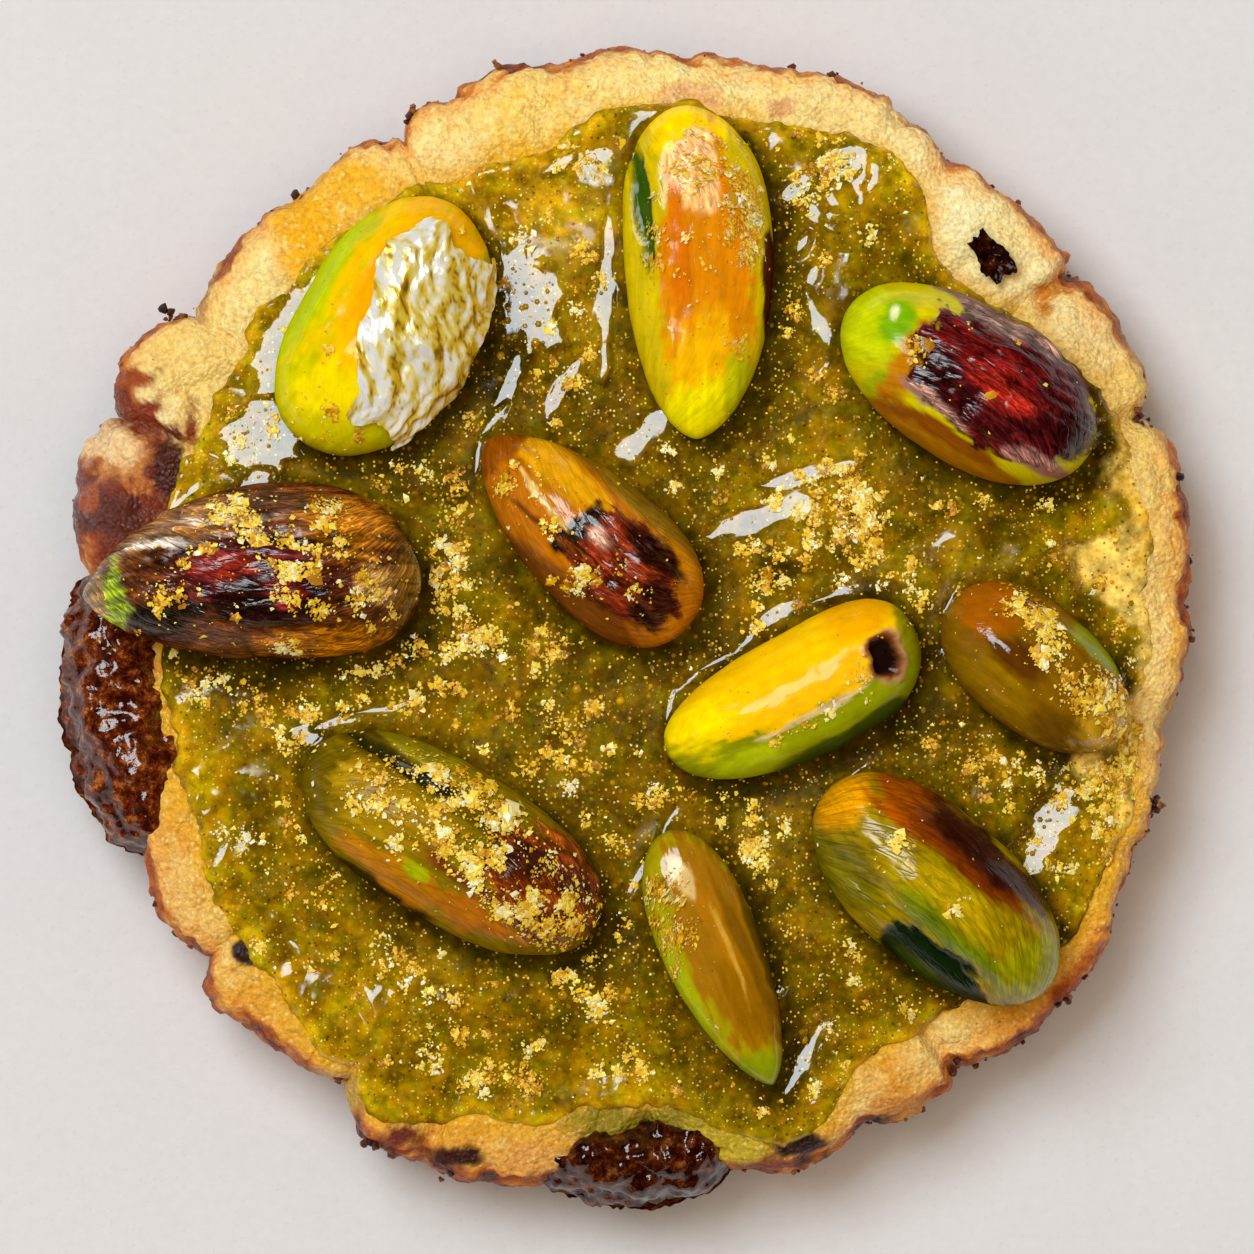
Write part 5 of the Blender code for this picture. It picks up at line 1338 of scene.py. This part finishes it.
def build_leaf(s):
    """The crumpled leaf of gold that clings to one side of the first kernel."""
    k = KERNELS[0]
    rows, columns = LEAF_STEPS
    u, v = np.meshgrid(np.linspace(0, 1, rows), np.linspace(0, 1, columns), indexing="ij")
    probe = np.stack([u * LEAF_LENGTH, v * LEAF_BREADTH, np.zeros_like(u)], -1)
    along = LEAF_ALONG[0] + (LEAF_ALONG[1] - LEAF_ALONG[0]) * u
    near = LEAF_ROUND[0] + np.interp(u, np.linspace(0, 1, len(LEAF_LEAN)), LEAF_LEAN)
    turn = near + (LEAF_ROUND[1] - near) * v
    along = along + 0.12 * crags(probe * [0.0, 1.0, 0.0], 2.2, 3, 4) * (2 * u - 1)
    turn = turn + 10.0 * crags(probe * [1.0, 0.0, 0.0] + 5, 1.6, 4, 6) * (1 - 2 * v)
    bent = probe + 0.5 * np.stack([bumps(probe, 2.0, 41), bumps(probe, 2.0, 43), np.zeros_like(u)], -1)
    small = 0.7 + 0.3 * v
    crumple = s.crumple * (folded(bent, 2.1, 0.5, 3) + 0.62 * folded(bent, 1.2, 1.4, 5)
                           + 0.5 * small * folded(bent, 0.66, 2.3, 7) + 0.3 * small
                           * folded(bent, 0.36, 0.9, 9))
    base = kernel_points(k, along, turn, 0.62 * MM)
    out = unit(base - kernel_points(k, along, turn, -0.75 * MM))
    over = base + out * crumple[..., None]
    points, faces = sheet(over[:, ::-1], out[:, ::-1] * 0.06 * MM)
    # Painted light: the leaf's facets are painted whiter or deeper gold by the way they tilt, as painted
    # reflections of the lamp, its left part is painted whiter as a painted reflection, and thin darker lines
    # are painted across it like creases.
    painted_light_tilt = (np.gradient(crumple / MM, axis=1) * columns / LEAF_BREADTH
              + 0.6 * np.gradient(crumple / MM, axis=0) * rows / LEAF_LENGTH)
    tone = 0.84 - 0.22 * v ** 1.5 + 0.9 * np.clip(painted_light_tilt, -0.5, 0.5) + 0.24 * crags(probe, 2.4, 3, 33)
    for size, heading, salt in ((0.9, 0.5, 51), (0.6, 1.7, 53), (0.45, 2.6, 55)):
        tone = tone - 0.45 * np.exp(-(folded(bent, size, heading, salt) / 0.06) ** 2) * (0.7 + 0.3 * v)
    tint = along_ramp(np.clip(tone, 0, 1).ravel(), (
        (0.0, "#8E6408"), (0.2, "#CE9A10"), (0.4, "#F6D026"), (0.62, "#FBE67C"), (0.85, "#FFFAE0"),
                                                    (1.0, "#FFFFFF")))
    tint = tint.reshape(rows, columns, 3)[:, ::-1].reshape(-1, 3)
    tint = np.vstack([tint, tint])
    made = mesh_object("gold_leaf_crumpled", points, faces,
                       gold_material("beaten gold leaf", 0.25, 0.3, 0.4 * MM, 0.35), tint)
    made.data.shade_flat()
    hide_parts("gold_leaf")


# ---- chocolate and crumbs ---------------------------------------------------------------------------

def build_chocolate(s):
    """The two runs of chocolate in the rim, knobbly and glossy."""
    material = chocolate_material(s)
    for name, first, last, inner, outer, top, foot, gain in CHOCOLATES:
        rows, columns = CHOCOLATE_STEPS
        share = -np.cos(np.pi * np.arange(1, rows + 1) / (rows + 1))[:, None]
        full = (1 - np.abs(share) ** 3.5) ** 0.45
        angle = (first + last) / 2 + (last - first) / 2 * share
        turn = np.linspace(0, 2 * np.pi, columns, endpoint=False)[None]
        depth, tall = (outer - inner) / 2 * MM, (top - foot) / 2 * MM
        ragged = (1 + 0.2 * crags(np.stack([3 * share * (last - first) / 10, 0 * share, 0 * share], -1), 1.0,
                                  4, 7))
        middle, level = (inner + outer) / 2 * MM, (top + foot) / 2 * MM
        wavy = np.where(np.cos(turn) > 0, np.minimum(ragged, 1.04), ragged)
        radius = middle + depth * full * wavy * np.cos(turn)
        height = level + tall * (0.35 + 0.65 * full) * np.sin(turn)
        angle = np.radians(np.broadcast_to(angle, radius.shape))
        grid = np.stack([radius * np.cos(angle), radius * np.sin(angle), height], -1)
        core = np.stack([middle * np.cos(angle), middle * np.sin(angle), np.full_like(radius, level)], -1)
        out = unit(grid - core)
        wander = grid + 0.5 * MM * crags(grid, 1.6 * MM, 2, 4)[..., None]
        knob = (s.knob_height * (pebbles(wander, 3.0 * MM, 3) - 0.45) + 0.6 * s.knob_height
                * (pebbles(wander, 1.3 * MM, 6) - 0.4))
        knob += (0.4 * s.knob_height * (pebbles(wander, 0.75 * MM, 9) - 0.4) + 0.3 * s.knob_height
                 * crags(grid, 1.5 * MM, 3, 8))
        grid = grid + out * (knob * full)[..., None]
        grid[..., 2] = np.maximum(grid[..., 2], 0.3 * MM)
        ends = [(middle * math.cos(math.radians(a)), middle * math.sin(math.radians(a)), level)
                for a in (first, last)]
        points = np.vstack([grid.reshape(-1, 3), ends])
        glaze = np.append(ease(grid[..., 2], 7.0 * MM, 8.6 * MM).ravel(), (0, 0))
        made = mesh_object(name + "_melted", points, loft_faces(rows, columns), material, glaze=glaze,
                           gain=np.full(len(points), gain))
        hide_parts(name)


def build_shard(s):
    """The dark, torn flake of chocolate on the rim."""
    low, high = (np.array(corner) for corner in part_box("chocolate_shard"))
    rows, columns = SHARD_STEPS
    u, v = np.meshgrid(np.linspace(-1, 1, rows), np.linspace(-1, 1, columns), indexing="ij")
    probe = np.stack([u * 3, v * 2, np.zeros_like(u)], -1)
    edge = 1 + 0.3 * crags(probe, 1.1, 3, 5)
    long, wide = u * 1.5 * MM * edge, v * (0.8 + 0.18 * np.sin(2.6 * u + 0.8)) * MM * edge
    heading = SHARD_HEADING
    middle = (low + high) / 2
    lift = (high[2] - low[2]) * (0.15 + 0.3 * crags(probe, 1.5, 3, 9) + 0.25 * v ** 2)
    top = np.stack([middle[0] + long * math.cos(heading) - wide * math.sin(heading),
                    middle[1] + long * math.sin(heading) + wide * math.cos(heading), middle[2] + lift], -1)
    made = mesh_object("chocolate_shard_torn", *sheet(top, [0, 0, 0.35 * MM]),
                       chocolate_material(s, "burnt chocolate flake"),
                       gain=np.full(2 * rows * columns, 0.3), glaze=np.full(2 * rows * columns, 0.2))
    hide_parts("chocolate_shard")


def sheet(top, thick):
    """Points and faces of a thin sheet whose upper face is a grid of points."""
    rows, columns = top.shape[:2]
    index = np.arange(rows * columns).reshape(rows, columns)
    upper = np.stack([index[:-1, :-1], index[1:, :-1], index[1:, 1:], index[:-1, 1:]], -1).reshape(-1, 4)
    border = np.concatenate([index[:, 0], index[-1, 1:], index[-2::-1, -1], index[0, -2:0:-1]])
    count = rows * columns
    wall = np.stack([border, border + count, np.roll(border, -1) + count, np.roll(border, -1)], -1)
    points = np.vstack([top.reshape(-1, 3), (top - thick).reshape(-1, 3)])
    return points, np.vstack([upper, upper[:, ::-1] + count, wall[:, ::-1]]).tolist()


# Burnt crumbs that stand out on the rim: angle, how many.
BURNT_CLUMPS = ((112, 9), (145.5, 9), (341.6, 9), (320, 6), (22, 9), (244, 12), (238, 5), (102, 4), (127, 3),
                (14, 4),
                (307, 4), (253, 6))


def build_crumbs(s):
    """Loose burnt crumbs that cling to the lower rim."""
    random = np.random.default_rng(5)
    count = s.crumb_count
    angles = random.uniform(0, 360, count)
    reach = rim(angles)[0]
    height = random.uniform(0.5, 9.0, count) * MM
    table = np.array(SECTION[:6], float)
    inset = np.interp(height, table[:, 1] * MM, table[:, 0]) * MM
    radius = reach - inset + random.uniform(-0.15, 0.2, count) * MM
    kept = ~(((angles > 174) & (angles < 205)) | ((angles > 262) & (angles < 281)))
    angles, radius, height = angles[kept], radius[kept], height[kept]
    centre = np.stack([radius * np.cos(np.radians(angles)), radius * np.sin(np.radians(angles)), height], -1)
    sizes = s.crumb_size * random.lognormal(-0.3, 0.4, len(centre))
    for angle, number in BURNT_CLUMPS:
        far = rim(np.array([angle]))[0][0] - 0.1 * MM
        turn = math.radians(angle)
        spot = (np.array([far * math.cos(turn), far * math.sin(turn), 9.0 * MM])
                + random.normal(0, 0.3, (number, 3)) * MM)
        centre = np.vstack([centre, spot])
        sizes = np.append(sizes, random.uniform(0.18, 0.4, number) * MM)
    shape = np.array([(0, 0, 1), (0.9, 0, 0.3), (0.28, 0.85, 0.3), (-0.72, 0.53, 0.3), (-0.72, -0.53, 0.3),
                      (0.28, -0.85, 0.3), (0.72, 0.53, -0.4), (-0.28, 0.85, -0.4), (-0.9, 0, -0.4),
                      (-0.28, -0.85, -0.4), (0.72, -0.53, -0.4), (0, 0, -1)], float)
    sides = [(0, i, i % 5 + 1) for i in range(1, 6)] + [(i, i + 5, i % 5 + 1) for i in range(1, 6)]
    sides += ([(i % 5 + 1, i + 5, i % 5 + 6) for i in range(1, 6)]
              + [(11, i % 5 + 6, i + 5) for i in range(1, 6)])
    bits = shape[None] * sizes[:, None, None] * random.uniform(0.55, 1.2, (len(centre), len(shape), 1))
    points = (centre[:, None] + bits).reshape(-1, 3)
    points[:, 2] = np.maximum(points[:, 2], 0.05 * MM)
    faces = (np.array(sides)[None] + np.arange(len(centre))[:, None, None]
             * len(shape)).reshape(-1, 3).tolist()
    brown = np.repeat(random.uniform(0.3, 1.0, len(centre)), len(shape))
    tint = along_ramp(brown, ((0.3, "#B06A24"), (0.6, "#5E230B"), (1.0, "#1E0B05")))
    made = mesh_object("burnt_crumbs", points, faces, bpy.data.materials["baked shortbread crumb"], tint,
                       glaze=np.full(len(points), 0.5))


# ---- stage ------------------------------------------------------------------------------------------

PIXELS_PER_MM = 16.2
PICTURE = 1254
PICTURE_MIDDLE = (0.28 * MM, 0.03 * MM)
SENSOR = 36.0
FLOOR_HALF = 1.5


def build_stage(s):
    """A pale floor, soft light from the upper left, and the camera straight above."""
    material, tree, shader, place = new_material("pale paper", roughness=0.9)
    tone = times(tree, spread(tree, clouds(tree, place, 0.7 * MM, 5.0, 0.7), 0.35, 0.65, 0.975, 1.02),
                 spread(tree, clouds(tree, place, 9 * MM, 3.0), 0.35, 0.65, 0.99, 1.01))
    colour = scaled(tree, rgba(s.floor)[:3], tone)
    colour = mix(tree, times(tree, dots(tree, place, 0.45 * MM, 0.25, 0.3), 0.12), colour,
                 rgba(linear("#B8A892")))
    join(tree, shader, colour, "Base Color")
    half = FLOOR_HALF
    mesh = bpy.data.meshes.new("paper_floor")
    mesh.from_pydata([(-half, -half, 0), (half, -half, 0), (half, half, 0), (-half, half, 0)], [],
                     [(0, 1, 2, 3)])
    mesh.materials.append(material)
    floor = bpy.data.objects.new("paper_floor", mesh)
    floor.location.z = -0.02 * MM
    bpy.context.scene.collection.objects.link(floor)

    for name, direction, wide, power, colour in (
            ("key", (-0.283, 0.293, 0.9135), 0.56, s.key_power, s.key_colour),
            ("overhead", (0.0, 0.0, 1.0), 0.9, s.overhead_power, s.room_colour),
            ("right", (0.85, 0.15, 0.5), 0.7, s.fill_power, s.room_colour),
            ("near", (-0.1, -0.88, 0.48), 0.7, s.fill_power, s.room_colour),
            ("left", (-0.88, -0.25, 0.42), 0.7, s.fill_power, s.room_colour)):
        lamp = bpy.data.lights.new(name, "AREA")
        lamp.shape = "SQUARE"
        lamp.size = wide
        lamp.energy = power
        lamp.color = colour
        made = bpy.data.objects.new(name, lamp)
        aim = np.array(direction) / np.linalg.norm(direction)
        made.location = aim * s.lamp_distance * (1.3 if name == "overhead" else 1.0)
        made.rotation_euler = made.location.to_track_quat("Z", "Y").to_euler()
        made.visible_glossy = name in ("key", "left")
        bpy.context.scene.collection.objects.link(made)

    world = bpy.data.worlds.new("studio")
    world.use_nodes = True
    world.node_tree.nodes["Background"].inputs["Color"].default_value = rgba(s.room_colour)
    world.node_tree.nodes["Background"].inputs["Strength"].default_value = s.room_light
    world.cycles_visibility.glossy = False
    bpy.context.scene.world = world
    bpy.context.scene.view_settings.view_transform = "Standard"

    camera = bpy.data.cameras.new("camera")
    camera.sensor_width = SENSOR
    camera.lens = SENSOR * s.camera_height / (PICTURE / PIXELS_PER_MM * MM)
    camera.clip_end = 10.0
    camera.clip_start = 0.01
    made = bpy.data.objects.new("camera", camera)
    made.location = (*PICTURE_MIDDLE, s.camera_height)
    bpy.context.scene.collection.objects.link(made)
    bpy.context.scene.camera = made


# ---- settings ---------------------------------------------------------------------------------------

def colour_setting(name, description, hex_colour):
    return bpy.props.FloatVectorProperty(
        name=name, description=description, subtype="COLOR", size=3, min=0, max=1, default=linear(hex_colour))


def length_setting(name, description, default):
    return bpy.props.FloatProperty(name=name, description=description, default=default, unit="LENGTH",
                                   precision=5)


def count_setting(name, description, default):
    return bpy.props.IntProperty(name=name, description=description, default=default)


def number_setting(name, description, default):
    return bpy.props.FloatProperty(name=name, description=description, default=default)


class DoughSettings(bpy.types.PropertyGroup):
    """Sizes and colours of the dough."""
    steps_round: count_setting("Steps round", "Facets round the rim", 840)
    steps_section: count_setting("Steps in section", "Facets from foot to bed", 100)
    crag_height: length_setting("Crag height", "How far the crags of the crumb stand out", 0.4 * MM)
    grain_height: length_setting("Grain height", "How far the grains of the crumb stand out", 0.18 * MM)
    crumb_count: count_setting("Crumbs", "Loose burnt crumbs", 420)
    crumb_size: length_setting("Crumb size", "Half the breadth of a loose crumb", 0.2 * MM)
    pale: colour_setting("Pale", "Palest crumb", "#FFF2B4")
    cream: colour_setting("Cream", "Common crumb", "#FFD25C")
    peach: colour_setting("Peach", "Crumb that the heat has just reached", "#FAB45C")
    stained: colour_setting("Stained", "Crumb that has drunk oil from the paste", "#EDB418")
    sugary: colour_setting("Sugary", "Crumb whitened by sugar", "#FFF2BE")
    golden: colour_setting("Golden", "Crumb turned golden by oil and heat", "#E09C1E")
    burnt: colour_setting("Burnt", "Burnt crumb", "#3A1608")


class PasteSettings(bpy.types.PropertyGroup):
    """Sizes and colours of the paste."""
    steps_across: count_setting("Steps across", "Facets across the paste", 310)
    edge_height: length_setting("Edge height", "How thick the paste is at its edge", 0.4 * MM)
    lump_height: length_setting("Lump height", "How far the ground lumps stand out", 0.22 * MM)
    meniscus_height: length_setting("Meniscus height", "How far the paste climbs at a kernel", 0.5 * MM)
    meniscus_width: length_setting("Meniscus width", "How far out that climb begins", 0.4 * MM)
    bead_count: count_setting("Beads", "Beads of oil and air", 1500)
    bead_size: length_setting("Bead size", "Half the breadth of a common bead", 0.12 * MM)
    olive: colour_setting("Olive", "Common paste", "#946C04")
    dark: colour_setting("Dark", "Darker cloud in the paste", "#644602")
    ground: colour_setting("Ground", "Lighter ground nut in it", "#B48C0C")
    # This colour paints shade: round the kernels, their shadows on the paste and the shade patches; it also
    # stands for the darker paste banked thick against a kernel.
    deep: colour_setting("Deep", "Paste banked against a kernel", "#3E2C02")
    amber: colour_setting("Amber", "Paste so thin that the dough glows through", "#BE8C06")
    film: colour_setting("Film", "The oily edge", "#CC980E")
    speck: colour_setting("Speck", "Fine dark specks", "#2A1A02")
    dust: colour_setting("Dust", "The finest gold dust", "#FFDC5A")
    soaked: colour_setting("Soaked", "Crumb of the rim soaked with paste", "#F2CC64")
    greener: bpy.props.FloatVectorProperty(
        name="Greener", description="What the greener grains keep of red, green and blue",
                                           default=(0.82, 1.25, 0.6))


class KernelSettings(bpy.types.PropertyGroup):
    """Sizes of the kernels' surface."""
    steps_along: count_setting("Steps along", "Facets along a kernel", 124)
    steps_round: count_setting("Steps round", "Facets round a kernel", 86)
    wrinkle: length_setting("Wrinkle", "Height of the wrinkles", 0.07 * MM)
    unevenness: length_setting("Unevenness", "Height of the broad dents", 0.16 * MM)
    pin: colour_setting("Pin", "Tiny dark specks", "#4A2A06")


class GoldSettings(bpy.types.PropertyGroup):
    """Sizes and colours of the gold."""
    flake_size: length_setting("Flake size", "Half the breadth of a bit in a clump", 0.1 * MM)
    clump_size: length_setting("Clump size", "Half the breadth of a common clump", 0.45 * MM)
    clump_bits: count_setting("Clump bits", "Bits in a common clump", 40)
    clump_count: count_setting("Clumps", "Clumps scattered all over the paste", 230)
    dust_size: length_setting("Dust size", "Half the breadth of a bit of loose dust", 0.06 * MM)
    dust_count: count_setting("Dust", "Bits of loose gold dust", 6800)
    thickness: number_setting("Thickness", "How thick the drifts are", 1.5)
    crumple: length_setting("Crumple", "Height of the leaf's creases", 0.3 * MM)


class ChocolateSettings(bpy.types.PropertyGroup):
    """Sizes and colours of the chocolate."""
    knob_height: length_setting("Knob height", "How far its knobs stand out", 0.9 * MM)
    dark: colour_setting("Dark", "Dark chocolate", "#2A0803")
    brown: colour_setting("Brown", "Thinner chocolate", "#5A2208")
    caramel: colour_setting("Caramel", "Burnt caramel in it", "#A4602A")


class StageSettings(bpy.types.PropertyGroup):
    """The floor, the lamps and the camera."""
    floor: colour_setting("Floor", "The pale floor", "#DDDDE3")
    key_power: number_setting("Key", "Soft lamp at the upper left, watts", 11.4)
    key_colour: colour_setting("Key colour", "Colour of the soft lamp", "#E0EAEE")
    overhead_power: number_setting("Overhead", "Broad lamp straight above, watts", 6.0)
    lamp_distance: length_setting("Lamp distance", "How far every lamp stands", 1.2)
    fill_power: number_setting("Fill", "Each weak lamp at the sides, watts", 0.25)
    room_light: number_setting("Room light", "Light from all round", 0.3)
    room_colour: colour_setting("Room colour", "Colour of the light from all round", "#FFE9CB")
    camera_height: length_setting("Camera height", "How high the camera looks down from", 1.2)


# ---- operators --------------------------------------------------------------------------------------

class COOKIE_OT_dough(bpy.types.Operator):
    """Build the dough round and its burnt crumbs"""
    bl_idname = "cookie.dough"
    bl_label = "Dough"

    def execute(self, context):
        build_dough(context.scene.cookie_dough)
        build_crumbs(context.scene.cookie_dough)
        return {"FINISHED"}


class COOKIE_OT_paste(bpy.types.Operator):
    """Spread the pistachio paste, with its beads"""
    bl_idname = "cookie.paste"
    bl_label = "Paste"

    def execute(self, context):
        paste = context.scene.cookie_paste
        material = paste_material(paste)
        build_paste(paste, material)
        build_beads(paste, material)
        return {"FINISHED"}


class COOKIE_OT_kernels(bpy.types.Operator):
    """Lay the whole kernels in the paste"""
    bl_idname = "cookie.kernels"
    bl_label = "Kernels"

    def execute(self, context):
        material = kernel_material(context.scene.cookie_kernels)
        for k in KERNELS:
            build_kernel(k, context.scene.cookie_kernels, material)
        return {"FINISHED"}


class COOKIE_OT_gold(bpy.types.Operator):
    """Lay the gold leaf and scatter the gold flakes"""
    bl_idname = "cookie.gold"
    bl_label = "Gold"

    def execute(self, context):
        gold = context.scene.cookie_gold
        build_leaf(gold)
        build_gold_on_paste(gold, context.scene.cookie_paste)
        build_gold_on_kernels(gold)
        return {"FINISHED"}


class COOKIE_OT_chocolate(bpy.types.Operator):
    """Melt the chocolate into the rim"""
    bl_idname = "cookie.chocolate"
    bl_label = "Chocolate"

    def execute(self, context):
        build_chocolate(context.scene.cookie_chocolate)
        build_shard(context.scene.cookie_chocolate)
        return {"FINISHED"}


class COOKIE_OT_stage(bpy.types.Operator):
    """Set the floor, the lamps and the camera"""
    bl_idname = "cookie.stage"
    bl_label = "Stage"

    def execute(self, context):
        build_stage(context.scene.cookie_stage)
        return {"FINISHED"}


class COOKIE_PT_sidebar(bpy.types.Panel):
    """Lists the pieces and their settings"""
    bl_idname = "COOKIE_PT_sidebar"
    bl_label = "Pistachio Cookie"
    bl_space_type = "VIEW_3D"
    bl_region_type = "UI"
    bl_category = "Cookie"

    def draw(self, context):
        for operator, settings in PIECES:
            box = self.layout.box()
            box.operator(operator.bl_idname)
            group = getattr(context.scene, settings)
            for key in group.__annotations__:
                box.prop(group, key)


GROUPS = (("cookie_dough", DoughSettings), ("cookie_paste", PasteSettings),
          ("cookie_kernels", KernelSettings),
          ("cookie_gold", GoldSettings), ("cookie_chocolate", ChocolateSettings),
          ("cookie_stage", StageSettings))
PIECES = ((COOKIE_OT_dough, "cookie_dough"), (COOKIE_OT_paste, "cookie_paste"),
          (COOKIE_OT_kernels, "cookie_kernels"), (COOKIE_OT_gold, "cookie_gold"),
          (COOKIE_OT_chocolate, "cookie_chocolate"), (COOKIE_OT_stage, "cookie_stage"))


def register():
    for name, group in GROUPS:
        bpy.utils.register_class(group)
        setattr(bpy.types.Scene, name, bpy.props.PointerProperty(type=group))
    for operator, _ in PIECES:
        bpy.utils.register_class(operator)
    bpy.utils.register_class(COOKIE_PT_sidebar)


def unregister():
    bpy.utils.unregister_class(COOKIE_PT_sidebar)
    for operator, _ in reversed(PIECES):
        bpy.utils.unregister_class(operator)
    for name, group in reversed(GROUPS):
        delattr(bpy.types.Scene, name)
        bpy.utils.unregister_class(group)


def main():
    """Builds every piece in order."""
    register()
    bpy.ops.cookie.dough()
    bpy.ops.cookie.paste()
    bpy.ops.cookie.kernels()
    bpy.ops.cookie.gold()
    bpy.ops.cookie.chocolate()
    bpy.ops.cookie.stage()


if __name__ == "__main__":
    main()
